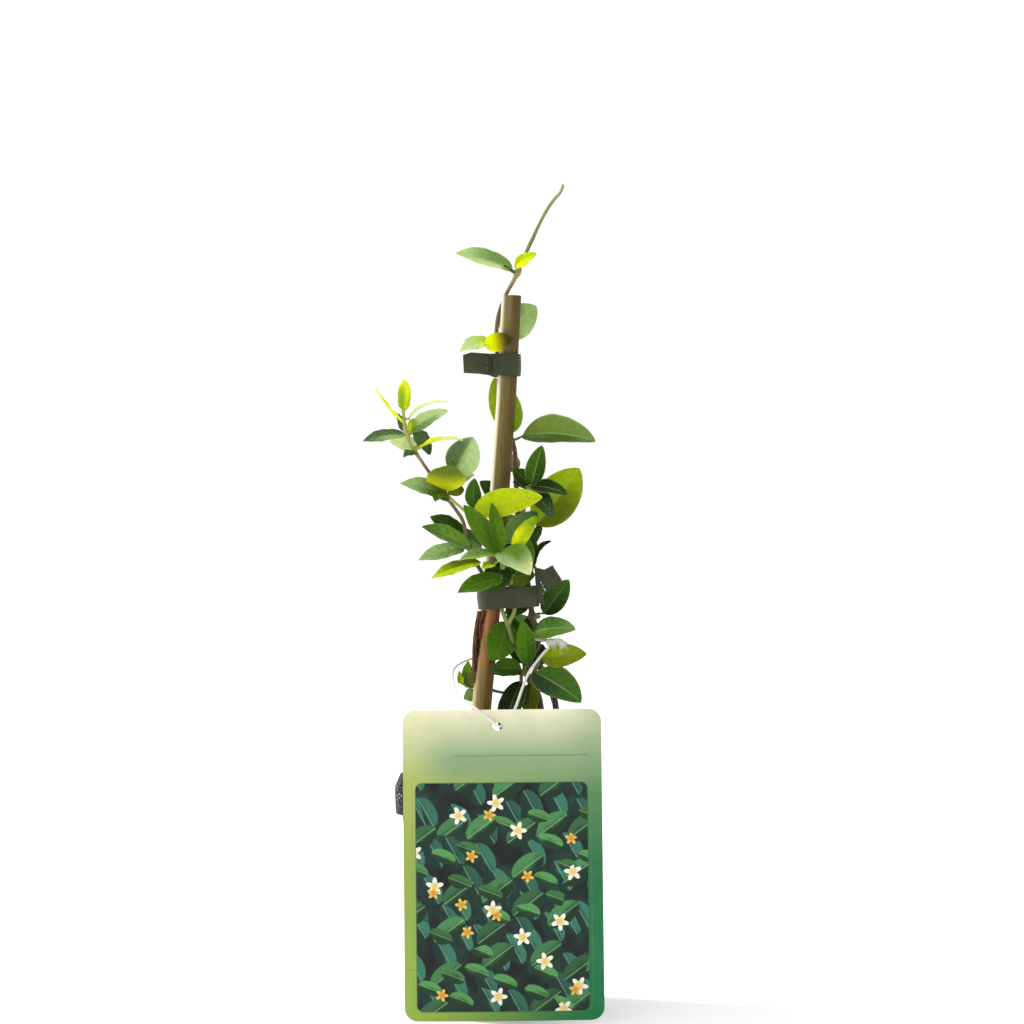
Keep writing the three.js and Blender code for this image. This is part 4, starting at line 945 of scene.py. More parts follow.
RIGHT_SPUR = stem(
    [(14, 1.5, 144), (15.8, -2.2, 146.5), (17.5, -3, 150), (19, -1.5, 154)],
    (0.9, 0.7), [(140, "#4d5a20"), (155, "#5d5a2c")],
)
LOW_RIGHT_LEAVES = [
    leaf((19.5, -2, 153.5), (39, -10, 155.5), 11, (0, -1, 0.2), "yellow lawn lawn", fold=10, rib=0.3),
    leaf((16.5, -4.5, 147), (36.5, -19, 135), 16.5, (0.1, -0.85, 0.5), "leaf grey leaf", fold=12, rib=1),
    leaf((14.5, -1, 142), (14, -5, 125.5), 8, (0, -1, 0), "olive deep olive"),
]
dress("spray_base_right", [RIGHT_SPUR], LOW_RIGHT_LEAVES)

# %% [markdown]
# ## The bamboo cane
# A thin cane is never quite straight, and its colour runs in fine streaks along it. It is a
# rod of rings at the heights where it bends or swells, with a bevelled, sawn top and a dark
# pith hole.

# %% Cane surface
CANE_RADIUS = 4.3
CANE_LINE = [
    (-15, 0, 30), (-9.8, 0, 95), (-6.6, 0, 134.7), (-2.6, 0, 178.7), (0.7, 0, 222.7), (3.8, 0, 266.7),
    (6.2, 0, 312.6),
]
CANE_STEP = 0.8
CANE_KNOTS = (70, 188)
KNOT_REACH = 1.6
KNOT_SWELL = 0.35
CHAMFER = 0.4
PITH = {"mouth": 2.4, "radius": 1.0, "end": 0.9, "depth": 4.0}


def cane_at(z):
    """The cane's middle at some heights, straight between the points of its line."""
    line = np.asarray(CANE_LINE, float)
    return np.stack([np.interp(z, line[:, 2], line[:, 0]), 0 * z, z], axis=-1)


def cane_body(sides=56):
    """Rings up the outside with radius R + swell (1 - d / reach) within reach of a knot, then
    over the bevel, across the sawn top and down into the pith."""
    top = CANE_LINE[-1][2]
    z = np.arange(CANE_LINE[0][2], top - CANE_STEP, CANE_STEP)
    z = np.sort(np.concatenate([z, *[np.array([-1, 0, 1]) * KNOT_REACH + k for k in CANE_KNOTS]]))
    away = np.min([np.abs(z - k) for k in CANE_KNOTS], axis=0)
    radius = CANE_RADIUS + KNOT_SWELL * np.clip(1 - away / KNOT_REACH, 0, 1)
    bevel = np.linspace(0, np.pi / 2, 5)
    over = CANE_RADIUS - CHAMFER + CHAMFER * np.cos(bevel)
    pith_z = [top, top, top - 0.3, top - PITH["depth"]]
    z = np.concatenate([z, top - CHAMFER + CHAMFER * np.sin(bevel), pith_z])
    radius = np.concatenate([radius, over, [PITH["mouth"], PITH["radius"], PITH["radius"], PITH["end"]]])
    turn, height = angles(sides)[None], z[:, None]
    dents = 0.05 * np.sin(3 * turn + height / 31) + 0.03 * np.sin(7 * turn - height / 17)
    outside = radius[:, None] > CANE_RADIUS - 0.3
    r = (radius[:, None] + dents * outside)[..., None]
    return closed_rings(cane_at(z)[:, None] + r * np.stack([np.cos(turn), np.sin(turn), 0 * turn], axis=-1))


# %% Bamboo finish
bamboo, tree, shader = new_material("bamboo", Roughness=0.55, Specular_IOR_Level=0.12)
place = place_in(tree)
fibre = use_group(streaks, Vector=place, Across=(4800, 4800, 45), Contrast=1.35)["Value"]
height = xyz(place)[2]
tone = blended(ramped(height, 0.146, 0.154), "#8a7748", "#a8764a")
tone = blended(ramped(height, 0.174, 0.2), tone, "#78693f")
tone = blended(ramped(height, 0.2, 0.31), tone, "#72663f")
streaky = blended(ramped(fibre, 0.45, 0.95), tone, tinted(tone, 1.9, 1.85, 1.75))
streaky = blended(ramped(fibre, 0.5, 0.18), streaky, tinted(tone, 0.42, 0.36, 0.3))
side = facing(tree)[0]
# Painted shade: faces turned to +x are darkened, as the side of the cane away from the sun.
painted_shade_on_right = blended(ramped(side, -0.45, 0.45, (0, 0.9)), streaky, tinted(streaky, 0.45, 0.38, 0.28))
# Painted highlight: faces turned to -x are lightened towards near white, paler above about 200 mm, where the
# sun catches the cane's left edge.
painted_highlight_on_left = blended(ramped(height, 0.18, 0.21), "#d3bd92", "#efe6cf")
feed(shader["Base Color"], blended(ramped(side, -0.5, -0.9, (0, 0.8)), painted_shade_on_right, painted_highlight_on_left))
bumped(shader, fibre, 0.35, 0.25)
new_piece("cane.rod", [cane_body()], bamboo, "cane", sharp=40)

# %% [markdown]
# A dry sheath still clings to the cane's left side. It is a narrow crescent of torn fibres,
# dark brown, and it narrows towards its foot.

# %% Sheath
SHEATH = {"top": 173.9, "foot": 142, "middle": 203, "drift": 12, "half": 42, "narrows": 0.62, "off": 0.45}


def sheath_body(rows=110, columns=26):
    """On the cane's own circle, angle = middle - drift t + half (1 - narrows t) v. The outer
    face stands off by 0.7 + 1.3 sin^2(pi (0.2 + 0.75 t)) less a ripple, and the margins are torn."""
    t = np.linspace(0, 1, rows)[:, None]
    v = np.concatenate([np.linspace(-1, 1, columns), np.linspace(1, -1, columns)])[None]
    outer = np.repeat([1.0, 0.0], columns)[None]
    z = SHEATH["top"] + (SHEATH["foot"] - SHEATH["top"]) * t
    tear = 1 + 0.1 * np.sin(t * 41) * np.sin(t * 17 + 1) + 0.06 * np.sin(t * 93)
    half = SHEATH["half"] * (1 - SHEATH["narrows"] * t)
    angle = np.radians(SHEATH["middle"] - SHEATH["drift"] * t + half * v * tear)
    ridges = 0.3 * np.abs(np.sin(7 * v + 1.5 * np.sin(4 * t))) + 0.12 * np.sin(19 * v + 9 * t)
    stand = 0.7 + 1.3 * np.sin(np.pi * (0.2 + 0.75 * t)) ** 2 - ridges * (1 - v * v) ** 0.5
    stand = stand * (1 - 0.65 * v**6)
    r = CANE_RADIUS + SHEATH["off"] + outer * np.maximum(stand, 0.15)
    off_middle = np.stack([r * np.cos(angle), r * np.sin(angle), 0 * r], axis=-1)
    return closed_rings(cane_at(z[:, 0])[:, None] + off_middle)


dry, tree, shader = new_material("dry sheath", Roughness=0.85, Specular_IOR_Level=0.1)
fibre = use_group(streaks, Vector=place_in(tree), Across=(1700, 1700, 70), Contrast=2.6)["Value"]
brown = blended(ramped(fibre, 0.3, 0.6), "#1c0f08", "#7a5432")
feed(shader["Base Color"], blended(ramped(fibre, 0.66, 0.95), brown, "#b08a62"))
bumped(shader, fibre, 0.8, 0.5)
new_piece("sheath", [sheath_body()], dry, "cane_sheath")

# %% [markdown]
# ## Tape ties
# Green garden tape runs once round the cane and the stem, and its two ends are pressed
# together and stapled. The tape stands on edge, so it is one strip whose four corners follow a
# closed line seen from above. The ends are two layers, cut a little apart.

# %% Tape strips
TAPE = 0.8
LOOP_STEP = 0.4
TAB_GAP = 0.05
TAB_EASE = 0.12
TAB_STEP = 0.5
TAB_SHORTER = 0.25
UPPER_TIE = {
    "bottom": 277.2, "top": 286.9, "tilt": 0, "front": -1.9, "back": -0.3,
    "inside": [
        (9.6, 0), (8.2, 3.7), (5.3, 7.4), (2.2, 9.9), (-0.6, 9), (-1.8, 5.5), (-2.3, 1.5),
        (-2.5, -0.9), (-0.2, -3.5), (2.4, -4.8), (5.2, -4.9), (8.2, -3.4),
    ],
    "tab": [(-2, 286.9), (-11.6, 287.6), (-15.2, 286.4), (-14.8, 278.5), (-7.7, 278.1), (-2, 277.2)],
}
LOWER_TIE = {
    "bottom": 175, "top": 184, "tilt": 3, "front": -2.4, "back": -0.8,
    "inside": [
        (17.6, 0.5), (17.2, 3.2), (15, 5.8), (10, 6.6), (3, 6.2), (-3, 5.2), (-6.8, 3.6), (-8.1, 0),
        (-7.3, -4.1), (-4.6, -7.6), (0, -9.2), (5, -9.5), (10, -8.4), (14.5, -5.2), (17.2, -2),
    ],
    "tab": [
        (17.4, 177), (20.9, 174.6), (20, 180.4), (29.2, 184.9), (27.9, 187.5), (24.9, 192.8),
        (21.3, 191), (16.9, 192.4), (17, 186.2),
    ],
}


def loop_body(tie, rows=9):
    """The strip's section is carried round the closed line: up the outside, over, and down the
    inside. Outward is the line's direction turned a quarter to the right, seen from above."""
    line = smooth_line([(x, y, 0) for x, y in tie["inside"]], LOOP_STEP, closed=True)
    along, _, _ = directions(line, closed=True)
    out = np.stack([along[:, 1], -along[:, 0], 0 * along[:, 0]], axis=1)
    w = np.concatenate([np.linspace(0, 1, rows), np.linspace(1, 0, rows)])[None]
    outer = np.repeat([1.0, 0.0], rows)[None]
    s = angles(len(line))[:, None]
    edge = 0.12 * np.sin(5 * s) * (w > 0.9) + 0.1 * np.sin(7 * s + 1) * (w < 0.1)
    cup = -0.15 * np.cos(2 * np.pi * w) + 0.08 * np.sin(9 * s) * w
    thick = TAPE * outer * (1 - 0.12 * (np.abs(w - 0.5) > 0.49))
    z = tie["bottom"] + (tie["top"] - tie["bottom"]) * w + edge
    rings = line[:, None] + out[:, None] * (thick + cup * 0.5)[..., None]
    rings = (rings + z[..., None] * (0, 0, 1))[:, ::-1]
    return {"points": rings.reshape(-1, 3), "quads": ring_faces(len(line), 2 * rows, loop=True)}


def smooth_corners(corners):
    """The tab's outline cut at short steps along each straight side."""
    p = np.asarray(corners, float)
    sides = []
    for a, b in zip(p, np.roll(p, -1, axis=0)):
        count = max(2, int(np.linalg.norm(b - a) / TAB_STEP))
        sides.append(a + (b - a) * np.linspace(0, 1, count, endpoint=False)[:, None])
    return np.concatenate(sides)


def tab_layer(edge, centre, front, back):
    """A flat layer with broken edges. Its outline in (x, z) runs anticlockwise seen from the
    front, and its rings go from the front to the back."""
    inner = edge + TAB_EASE * unit(centre - edge)
    rows = [(inner, front), (edge, front + TAB_EASE), (edge, back - TAB_EASE), (inner, back)]
    rings = np.stack([np.insert(corners, 1, y, axis=1) for corners, y in rows])
    loop = np.arange(len(edge))
    return {
        "points": rings.reshape(-1, 3), "quads": ring_faces(len(rows), len(edge)),
        "caps": (loop[::-1], loop + (len(rows) - 1) * len(edge)),
    }


def tie_piece(name, tie, node, material):
    """The loop and the two layers of its tab, all turned by the tie's tilt round its middle."""
    edge = smooth_corners(tie["tab"])
    centre = edge.mean(axis=0)
    parting = (tie["front"] + tie["back"]) / 2
    bodies = [
        loop_body(tie),
        tab_layer(edge, centre, tie["front"], parting - TAB_GAP),
        tab_layer(edge + TAB_SHORTER * unit(centre - edge), centre, parting + TAB_GAP, tie["back"]),
    ]
    middle = (0, 0, (tie["bottom"] + tie["top"]) / 2)
    for body in bodies:
        body["points"] = (body["points"] - middle) @ turning(1, -tie["tilt"]).T + middle
    return new_piece(name, bodies, material, node, sharp=35)


# %% Tape and staples
tape_green, tree, shader = new_material("tie tape", Roughness=0.4, Specular_IOR_Level=0.25)
place = place_in(tree)
pulled = use_group(streaks, Vector=place, Across=(60, 60, 700), Contrast=1.2)["Value"]
shade = blended(ramped(noise(place, 120, 3), 0.3, 0.75), "#252c12", "#363b20")
feed(shader["Base Color"], blended(pulled * 0.12, shade, "#5c6254"))
bumped(shader, pulled, 0.25, 0.15)
tie_piece("tie.upper", UPPER_TIE, "tie_upper", tape_green)
tie_piece("tie.lower", LOWER_TIE, "tie_lower", tape_green)

for node, bright in (("staple_upper", "#5c6152"), ("staple_lower", "#c8cac8")):
    wire, tree, shader = new_material(node.replace("_", " ") + " wire", Metallic=1.0, Roughness=0.45)
    rubbed = ramped(noise(place_in(tree), 900, 3), 0.42, 0.62)
    feed(shader["Base Color"], blended(rubbed, "#34382e", bright))
    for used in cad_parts[node].material_slots:
        used.material = wire

# %% [markdown]
# ## The pot
# A thin black nursery pot: square with round corners, tapered, with a collar round its rim and
# four drainage holes. It is a stack of rounded squares that goes up the outside, over the lip and
# down the inside, so the wall has a real thickness. Cylinders then cut the holes.

# %% Rounded squares
RIM = {"width": 88, "corner": 13, "height": 100, "collar": 12, "step": 3.2, "draft": 0.8, "ledge": 2.2}
FOOT = {"width": 62, "corner": 9}
WALL = 1.5
LIP = 0.7
FLOOR = 2
HOLE_RADIUS = 4.5
HOLE_SPACING = 19


def rounded_squares(width, corner, z, corner_points=9, side_points=6):
    """One ring for each width, corner radius and height. Each corner is a quarter circle round
    (w/2 - r, w/2 - r), and each straight side is cut into equal lengths."""
    width, corner, z = (np.atleast_1d(np.asarray(a, float))[:, None] for a in (width, corner, z))
    middle = (width / 2 - corner) * math.sqrt(2)
    arcs = []
    for side in range(4):
        turn = np.pi / 2 * (side + np.linspace(0, 1, corner_points))[None]
        quarter = np.pi * (side / 2 + 0.25)
        x = middle * math.cos(quarter) + corner * np.cos(turn)
        y = middle * math.sin(quarter) + corner * np.sin(turn)
        arcs.append(np.stack([x, y, z + 0 * x], axis=-1))
    u = np.linspace(0, 1, side_points + 1)[1:-1][None, :, None]
    joined = []
    for arc, following in zip(arcs, arcs[1:] + arcs[:1]):
        joined += [arc, arc[:, -1:] * (1 - u) + following[:, :1] * u]
    return np.concatenate(joined, axis=1)


def pot_body():
    """(width, corner, height) up the outside, round the lip, down the inside and to the floor."""
    rim, corner, top = RIM["width"], RIM["corner"], RIM["height"]
    foot, foot_corner = FOOT["width"], FOOT["corner"]
    wall, wall_corner, collar = rim - 2 * RIM["step"], corner - RIM["step"], top - RIM["collar"]
    mouth, mouth_corner = rim - 2 * WALL - RIM["draft"], corner - WALL
    over = [(math.cos(a), math.sin(a)) for a in np.linspace(0, np.pi, 7)[:-1]]
    lip = [
        (rim - WALL + WALL * cos, mouth_corner + WALL / 2 * (1 + cos), top - LIP + LIP * sin)
        for cos, sin in over
    ]
    rows = [
        (foot - 1.6, foot_corner - 0.8, 0), (foot - 0.4, foot_corner - 0.2, 0.25), (foot, foot_corner, 1),
        (wall - 0.2, wall_corner, collar - 1), (wall, wall_corner, collar - 0.2),
        (rim - RIM["draft"] - 0.6, corner - 0.3, collar - 0.1), (rim - RIM["draft"], corner, collar + 0.4),
        *lip,
        (mouth, mouth_corner, top - 0.9), (mouth, mouth_corner, collar + RIM["ledge"]),
        (wall - 2 * WALL, wall_corner - WALL, collar),
        (foot - 2 * WALL, foot_corner - WALL, FLOOR + 1),
        (foot - 2 * WALL - 2, foot_corner - WALL - 1, FLOOR),
    ]
    return closed_rings(rounded_squares(*zip(*rows)))


def cut(piece, cutter_bodies):
    """The piece with other closed bodies taken out of it, once and for all."""
    cutter = new_piece("cutter", cutter_bodies, piece.data.materials[0])
    boolean = piece.modifiers.new("holes", "BOOLEAN")
    boolean.object, boolean.operation, boolean.solver = cutter, "DIFFERENCE", "EXACT"
    view = bpy.context.evaluated_depsgraph_get()
    mesh = bpy.data.meshes.new_from_object(piece.evaluated_get(view))
    piece.modifiers.clear()
    piece.data = mesh
    bpy.data.objects.remove(cutter)
    return piece


# %% Pot plastic, and its holes
SPILL = (-0.042, -0.036, 0.094)

black, tree, shader = new_material("pot plastic", Roughness=0.5, Specular_IOR_Level=0.25)
place = place_in(tree)
scuffs = noise(place, 160, 5, 0.7)
crumbs_on = use_group(specks, Vector=place, Scale=1100.0, Size=0.5, Share=0.3)["Mask"]
heaped = place.vector("DISTANCE", SPILL)[1]
dusty = crumbs_on * ramped(xyz(place)[2], 0.086, 0.1) * ramped(heaped, 0.05, 0.02, (0.25, 1))
shade = blended(ramped(scuffs, 0.45, 0.8), "#0c0c0c", "#24231f")
feed(shader["Base Color"], blended(dusty, shade, "#b0aca2"))
feed(shader["Roughness"], ramped(scuffs, 0.3, 0.8, (0.4, 0.65)))
bumped(shader, scuffs, 0.25, 0.2)

pot = new_piece("pot.shell", [pot_body()], black, "pot", sharp=35)
holes = [
    tube(np.array([(x, y, -2.0), (x, y, 1.0), (x, y, 4.0)]), HOLE_RADIUS, 32)
    for x in (-HOLE_SPACING, HOLE_SPACING) for y in (-HOLE_SPACING, HOLE_SPACING)
]
cut(pot, holes)
print("pot faces after cutting:", len(pot.data.polygons))

# %% [markdown]
# ## Potting soil
# The soil is dark and crumbly, domed a little, and heaped in one corner above the rim. A ring
# grid gives the surface, a sum of waves and seeded random numbers its lumps, and several
# hundred small crumbs of a few faces each lie on top.

# %% Soil surface
SOIL_LEVEL = 92.5
DOME = {"height": 3, "reach": 60}
HEAP = {"height": 7, "at": (-38, -30), "reach": 9.5}
SOIL_WIDTH = RIM["width"] - 2 * WALL - RIM["draft"] - 0.6
SOIL_CORNER = 11.2
SOIL_GRID = (12, 10)  # points to a corner and to a side
SOIL_BLOCK = [(58, 80, 83.4), (7, 8, 11), (60.0, 86.0, 90.8)]  # widths, corners and heights
CRUMBS = 900
HEAPED_SHARE = 0.45
CRUMB_REACH = {"heap": 9, "bed": 38.5, "side": 40, "corner": 72}


def soil_height(x, y):
    """level + dome (1 - r^2 / reach^2) + heap e^-(d / reach)^2 where d is the way to the heap."""
    away = np.hypot(x - HEAP["at"][0], y - HEAP["at"][1]) / HEAP["reach"]
    dome = DOME["height"] * (1 - (x * x + y * y) / DOME["reach"] ** 2)
    return SOIL_LEVEL + dome + HEAP["height"] * np.exp(-away * away)


def soil_body():
    """Rounded squares that shrink to the middle at the soil's height, on a tapered block."""
    shares = np.linspace(1, 0.03, 44)
    corners = np.maximum(0.4, SOIL_CORNER * shares)
    rings = rounded_squares(SOIL_WIDTH * shares, corners, 0 * shares, *SOIL_GRID)
    x, y = rings[..., 0], rings[..., 1]
    lumps = 0.5 * np.sin(x * 1.1 + 2 * np.sin(y * 0.7)) * np.sin(y * 0.9 + 1.5 * np.sin(x * 0.5))
    rings[..., 2] = soil_height(x, y) + lumps + rng.normal(0, 0.22, x.shape)
    low = rounded_squares(*SOIL_BLOCK, *SOIL_GRID)
    return closed_rings(np.concatenate([low, rings]))


# %% Crumbs
k = np.arange(5)
belt = np.stack([np.cos(angles(5)), np.sin(angles(5)), 0 * k], axis=1)
ball = np.concatenate([[(0, 0, 1)], belt, [(0, 0, -1)]])
after = 1 + (k + 1) % 5
fans = np.concatenate([np.stack([0 * k, 1 + k, after], 1), np.stack([0 * k + 6, after, 1 + k], 1)])

near_heap = rng.random(CRUMBS) < HEAPED_SHARE
reach = np.where(near_heap, CRUMB_REACH["heap"], CRUMB_REACH["bed"])
spots = rng.uniform(-1, 1, (CRUMBS, 2)) * reach[:, None]
spots = spots + near_heap[:, None] * np.array(HEAP["at"])
spots = np.clip(spots, -CRUMB_REACH["side"], CRUMB_REACH["side"])
spots = spots[np.abs(spots).sum(axis=1) < CRUMB_REACH["corner"]]
size = rng.uniform(0.4, 1.5, (len(spots), 1, 1)) * rng.uniform(0.6, 1.2, (len(spots), 1, 3))
x, y, z = np.moveaxis(ball * size * rng.uniform(0.75, 1.25, (len(spots), len(ball), 1)), -1, 0)
turn = rng.uniform(0, np.pi, len(spots))
cos, sin = np.cos(turn)[:, None], np.sin(turn)[:, None]
balls = np.stack([x * cos - z * sin, y, x * sin + z * cos], axis=-1)
places = np.concatenate([spots, soil_height(spots[:, :1], spots[:, 1:]) + 0.3], axis=1)
crumbs = {
    "points": (balls + places[:, None]).reshape(-1, 3),
    "triangles": (fans[None] + len(ball) * np.arange(len(spots))[:, None, None]).reshape(-1, 3),
}
print("crumbs:", len(spots))

# %% Soil finish
earth, tree, shader = new_material("potting soil", Roughness=0.95, Specular_IOR_Level=0.05)
place = place_in(tree)
clods = noise(place, 420, 5, 0.7)
pale = use_group(specks, Vector=place, Scale=900.0, Size=0.5, Share=0.2)["Mask"]
shade = blended(ramped(clods, 0.35, 0.75), "#0b0908", "#3a332b")
feed(shader["Base Color"], blended(pale, shade, "#c4bfb4"))
bumped(shader, clods, 0.9, 0.8)
new_piece("soil.top", [soil_body(), crumbs], earth, "soil", sharp=30)

# %% [markdown]
# ## The label
# A stiff plastic card bowed forward a little. Its slices from side to side grow shorter in the
# round corners. The print is plain colour and shapes: a ground that goes from cream to green,
# and a panel of leaves and small blossoms, drawn from distance fields in the card's own
# millimetres.

# %% Card
CARD = {"width": 84.6, "height": 131.5, "thickness": 0.6, "corner": 5.5, "bow": 1.6}
CARD_CENTRE = (2.7, -46.2, 67.7)
CARD_LEAN = -2.6
CARD_TURN = -0.6
CARD_HOLE = {"x": -1.9, "z": 58.6, "half_width": 2.1, "half_height": 1.7}
POST_Y = (4, 0, -6)
LAST_SLICE = 0.9995


def card_body(rows=60):
    """Slices at x = share w/2 with half height h/2 - r + sqrt(r^2 - c^2), where c is how far x is
    into the corner. The front stands at y = -bow (1 - share^2)."""
    inner = 1 - 2 * CARD["corner"] / CARD["width"]
    ends = inner + (1 - inner) * np.sin(np.linspace(0, np.pi / 2, 12))[1:]
    share = np.concatenate([-ends[::-1], np.linspace(-inner, inner, 41), ends])[:, None]
    share = np.clip(share, -LAST_SLICE, LAST_SLICE)
    x = share * CARD["width"] / 2
    into = np.maximum(0, np.abs(x) - (CARD["width"] / 2 - CARD["corner"]))
    half = CARD["height"] / 2 - CARD["corner"] + np.sqrt(CARD["corner"] ** 2 - into**2)
    w = np.linspace(1, -1, rows)[None]
    y = -CARD["bow"] * (1 - share**2) + 0.25 * np.sin(w * 2.2 + share) * share
    front = np.stack([x + 0 * w, y, half * w], axis=-1)
    return closed_rings(np.concatenate([front, front[:, ::-1] + (0, CARD["thickness"], 0)], axis=1))


def hole_body():
    """An upright oval post through the card."""
    turn = angles(40)
    x = CARD_HOLE["x"] + CARD_HOLE["half_width"] * np.cos(turn)
    z = CARD_HOLE["z"] + CARD_HOLE["half_height"] * np.sin(turn)
    return closed_rings(np.stack([np.stack([x, 0 * x + y, z], axis=-1) for y in POST_Y]))


def set_up(body):
    """The body leaned and turned like the card, then moved to the card's middle."""
    body["points"] = body["points"] @ (turning(0, CARD_LEAN) @ turning(1, CARD_TURN)).T + CARD_CENTRE
    return body


# %% Ground of the print
print_ink, tree, shader = new_material("label print", Roughness=0.42, Specular_IOR_Level=0.25)
on_card = put(
    tree, "Mapping",
    {
        "Vector": place_in(tree), "Location": [v * MM for v in CARD_CENTRE],
        "Rotation": (math.radians(CARD_LEAN), math.radians(CARD_TURN), 0),
    },
    vector_type="TEXTURE",
)[0]
card_mm = xyz(on_card.vector("MULTIPLY", (1 / MM, 1 / MM, 1 / MM))[0])
side, height = card_mm[0], card_mm[2]
flat = put(tree, "CombineXYZ", {0: side, 1: height})[0]


def colour_stops(value, rows):
    """A colour ramp over millimetres: rows of (mm, colour), low to high."""
    low, high = rows[0][0], rows[-1][0]
    share = put(value.tree, "MapRange", {"Value": value, "From Min": low, "From Max": high})[0]
    ramp = put(value.tree, "ValToRGB", {0: share})[0]
    band = ramp.socket.node.color_ramp
    band.elements[0].color, band.elements[1].color = ((*linear(rows[i][1]), 1) for i in (0, -1))
    for mm, code in rows[1:-1]:
        band.elements.new((mm - low) / (high - low)).color = (*linear(code), 1)
    return ramp


left_side = [(-62, "#8aa73e"), (0, "#8ea24a"), (36, "#a5af5b"), (50, "#bbc28e"), (65, "#dddeb2")]
right_side = [(-62, "#0f6f3f"), (0, "#24693f"), (30, "#528051"), (50, "#8ca27b"), (65, "#b3bf9c")]
cream = [(30, "#6c9052"), (46, "#86a078"), (58, "#c2c6a0"), (66, "#e5dfc4")]
left_side, right_side, cream = (colour_stops(height, rows) for rows in (left_side, right_side, cream))
ground = blended(ramped(side, -38, 38), left_side, right_side)
ground = blended(ramped(height, 28, 44) * ramped(abs(side), 42, 20), ground, cream)
smudge = noise(flat, 0.09, 3, 0.6)
ground = blended(ramped(smudge, 0.45, 0.75) * 0.14, ground, "#4f7f5c")
print("nodes of the ground:", len(tree.nodes))

# %% [markdown]
# The panel's leaves are cells of a Voronoi pattern. Each cell knows its own middle, so a leaf
# can be an oval round it, with a lit half and a shaded half. Three layers at different turns
# overlap like foliage. Blossoms are five-lobed: their edge radius goes with the cosine of five
# times the angle.

# %% Leaves and blossoms
LEAF_LAYERS = [  # turn, cells to a mm, slimness, reach, dark, light, share of the cells
    (0.5, 0.11, 0.62, 0.5, "#0d2c28", "#33705a", 0.85),
    (2.2, 0.085, 0.6, 0.42, "#0f2d1b", "#437f4c", 0.6),
    (1.2, 0.13, 0.55, 0.4, "#12371c", "#4f8f4c", 0.4),
]
BLOSSOM_LAYERS = [  # turn, cells to a mm, heart, petals, share of the cells
    (-0.3, 0.072, "#d9c06a", "#efece2", 0.32),
    (-1.9, 0.1, "#c98a2a", "#e2b84e", 0.22),
]
PETALS = 5


def pattern(spot, turn, across, along, spread):
    """A Voronoi pattern with so many cells to a millimetre across and along. It gives x and y
    from the cell's middle, that distance, and the cell's own random numbers."""
    sized = {"Vector": spot, "Rotation": (0, 0, turn), "Scale": (1 / across, 1 / along, 1)}
    turned = put(spot.tree, "Mapping", sized, vector_type="TEXTURE")[0]
    feeds = {"Vector": turned, "Scale": 1.0, "Randomness": spread}
    cells = put(spot.tree, "TexVoronoi", feeds, voronoi_dimensions="2D")
    local = xyz(turned.vector("SUBTRACT", cells["Position"])[0])
    return local, cells["Distance"], put(spot.tree, "SeparateColor", {0: cells["Color"]})


def leaf_layer(spot, under, turn, per_mm, slim, reach, dark, light, share):
    """Ovals round Voronoi middles, on top of the layer below."""
    local, away, draw = pattern(spot, turn, per_mm, per_mm * slim, 0.9)
    there = ramped(away, reach, reach * 0.9) * draw[0].math("LESS_THAN", share)
    lit = ramped(local[0] + (noise(spot, 0.14, 2) - 0.5) * 0.5, -0.15, 0.2)
    tone = blended(lit * (draw[1] + 0.35), dark, light)
    tone = blended(ramped(abs(local[0]), 0.035, 0.0) * 0.5, tone, "#8fbf86")
    return blended(there, under, tone)


def blossom_layer(spot, under, turn, per_mm, heart, petals, share):
    """Flowers: inside where the distance is under 0.2 + 0.075 cos(petals times the angle)."""
    local, away, draw = pattern(spot, turn, per_mm, per_mm, 0.85)
    angle = local[1].math("ARCTAN2", local[0]) + draw[1] * 6.28
    edge = away - ((angle * PETALS).math("COSINE") * 0.075 + 0.2)
    there = ramped(edge, 0.015, -0.015) * draw[0].math("LESS_THAN", share)
    return blended(there, under, blended(ramped(away, 0.05, 0.2), heart, petals))


foliage = blended(ramped(noise(flat, 0.06, 4, 0.6), 0.38, 0.66), "#0a0d12", "#17392b")
for row in LEAF_LAYERS:
    foliage = leaf_layer(flat, foliage, *row)
for row in BLOSSOM_LAYERS:
    foliage = blossom_layer(flat, foliage, *row)
print("nodes with the foliage:", len(tree.nodes))


# %% The panel on the label
def rounded_panel(spot, centre, half, corner):
    """Distance to a rounded rectangle's edge in mm, negative inside."""
    size = spot.vector("SUBTRACT", (*centre, 0))[0].vector("ABSOLUTE")[0]
    past = size.vector("SUBTRACT", (half[0] - corner, half[1] - corner, 0))[0]
    away = past.vector("MAXIMUM")[0].vector("LENGTH")[1]
    past = xyz(past)
    return away + past[0].math("MAXIMUM", past[1]).math("MINIMUM", 0.0) - corner


panel = rounded_panel(flat, (-0.5, -13.5), (36.5, 48.2), 2.8)
frame_line = ramped(abs(rounded_panel(flat, (-0.5, -11.6), (38, 50.2), 4)), 0.35, 0.05)
rule = ramped(abs(height - 46.2), 0.26, 0.08) * ramped(side, -20.6, -20) * ramped(side, 36.6, 36)
# A short, thin dark line drawn across the card near its lower left edge.
thin_dark_line = ramped(abs(height - (side * 0.02 - 43.2)), 0.25, 0.0) * ramped(side, -30, -40)
sheet = blended(rule * 0.75, ground, "#3f6f4e")
sheet = blended(frame_line * 0.3, sheet, "#5a8a55")
sheet = blended(ramped(panel, 0.45, 0.15) * 0.7, sheet, "#2c5a3c")
sheet = blended(ramped(panel, 0.05, -0.1), sheet, foliage)
sheet = blended(thin_dark_line * 0.5, sheet, "#4a5a38")
off_white = blended(smudge, "#e9e8e2", "#d9d8d0")
feed(shader["Base Color"], blended(ramped(facing(tree)[1], 0.0, 0.5), sheet, off_white))
bumped(shader, noise(flat, 2.4, 3), 0.08, 0.1)

card, post = set_up(card_body()), set_up(hole_body())
cut(new_piece("label", [card], print_ink, "label_card", sharp=40), [post])

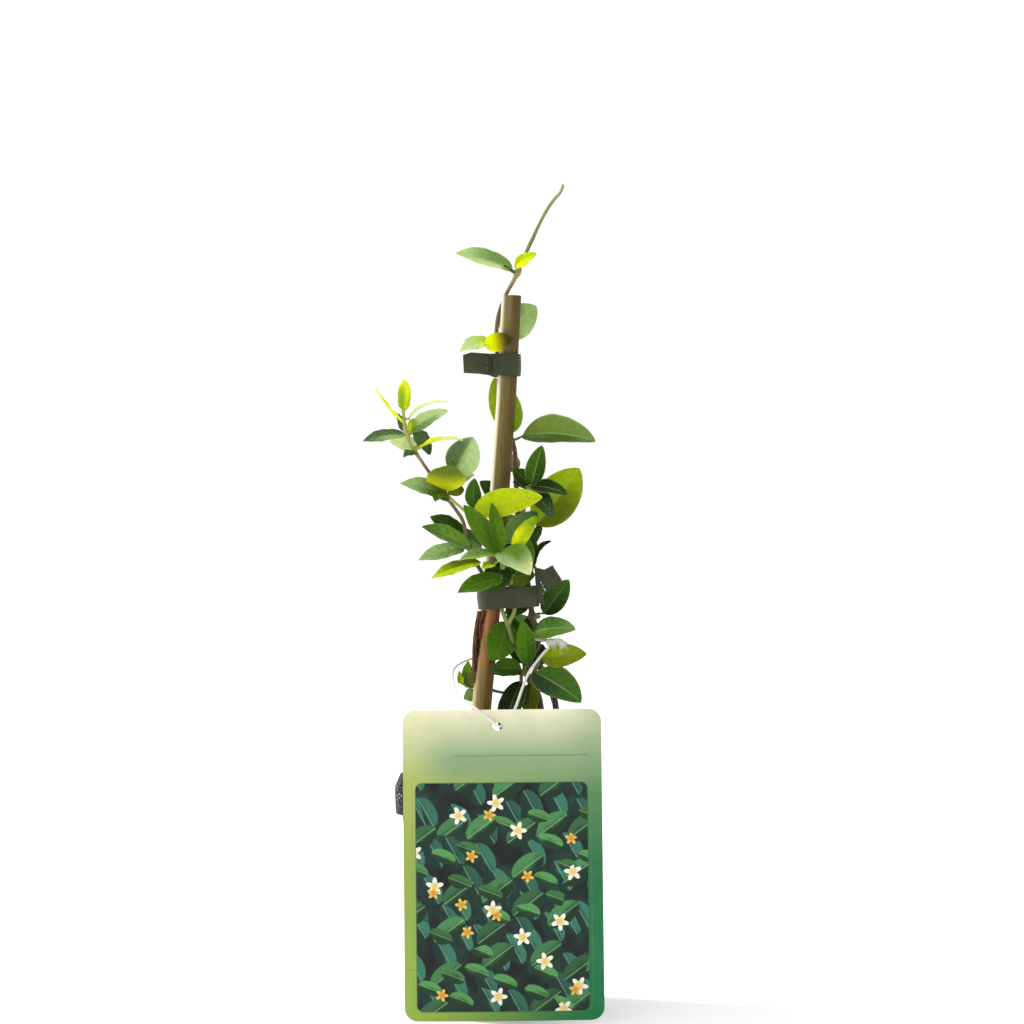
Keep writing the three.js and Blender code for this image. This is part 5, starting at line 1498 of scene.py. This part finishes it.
# %% [markdown]
# ## Floor and light
# The plant stands on a pale floor in bright, soft daylight. A low sun from behind on the left
# shines through the young leaves and edges the cane. A wide lamp in front keeps the label
# readable.

# %% Floor and sky
FLOOR_HALF = 6
SKY_LIGHT = 0.78
SKY_SEEN = 1.05

floor_mesh = bpy.data.meshes.new("floor")
corners = [(x * FLOOR_HALF, y * FLOOR_HALF, 0) for x, y in ((-1, -1), (1, -1), (1, 1), (-1, 1))]
floor_mesh.from_pydata(corners, [], [(0, 1, 2, 3)])
pale_floor, tree, shader = new_material("pale floor", Roughness=0.9, Emission_Strength=0.25)
feed(shader["Base Color"], blended(noise(place_in(tree), 3.0, 2), "#fbfbfa", "#ffffff"))
feed(shader["Emission Color"], "#ffffff")
floor_mesh.materials.append(pale_floor)
floor = bpy.data.objects.new("floor", floor_mesh)
bpy.context.scene.collection.objects.link(floor)

world = bpy.data.worlds.new("daylight")
world.use_nodes = True
background = world.node_tree.nodes["Background"].inputs
seen = put(world.node_tree, "LightPath")["Is Camera Ray"]
feed(background["Color"], "#ffffff")
feed(background["Strength"], seen * (SKY_SEEN - SKY_LIGHT) + SKY_LIGHT)
bpy.context.scene.world = world
bpy.context.scene.view_settings.view_transform = "Standard"
print("sky gives", SKY_LIGHT, "and shows", SKY_SEEN)


# %% Lamps
def aimed(name, kind, place, target, **settings):
    """A lamp at a place in metres, turned so that its minus Z looks at the target."""
    lamp = bpy.data.objects.new(name, bpy.data.lights.new(name, kind))
    way = np.asarray(place, float) - np.asarray(target, float)
    lamp.location = place
    tip = math.acos(way[2] / np.linalg.norm(way))
    lamp.rotation_euler = (tip, 0, math.atan2(way[1], way[0]) + math.pi / 2)
    for key, value in settings.items():
        setattr(lamp.data, key, value)
    bpy.context.scene.collection.objects.link(lamp)
    print(name, "at", place)


aimed("sun", "SUN", (-1.6, 0.7, 1.9), (0, 0, 0.2), energy=2.5, angle=0.12)
aimed(
    "front fill", "AREA", (-0.9, -1.8, 1.0), (0, 0, 0.15),
    energy=5, shape="RECTANGLE", size=1.4, size_y=1.4,
)
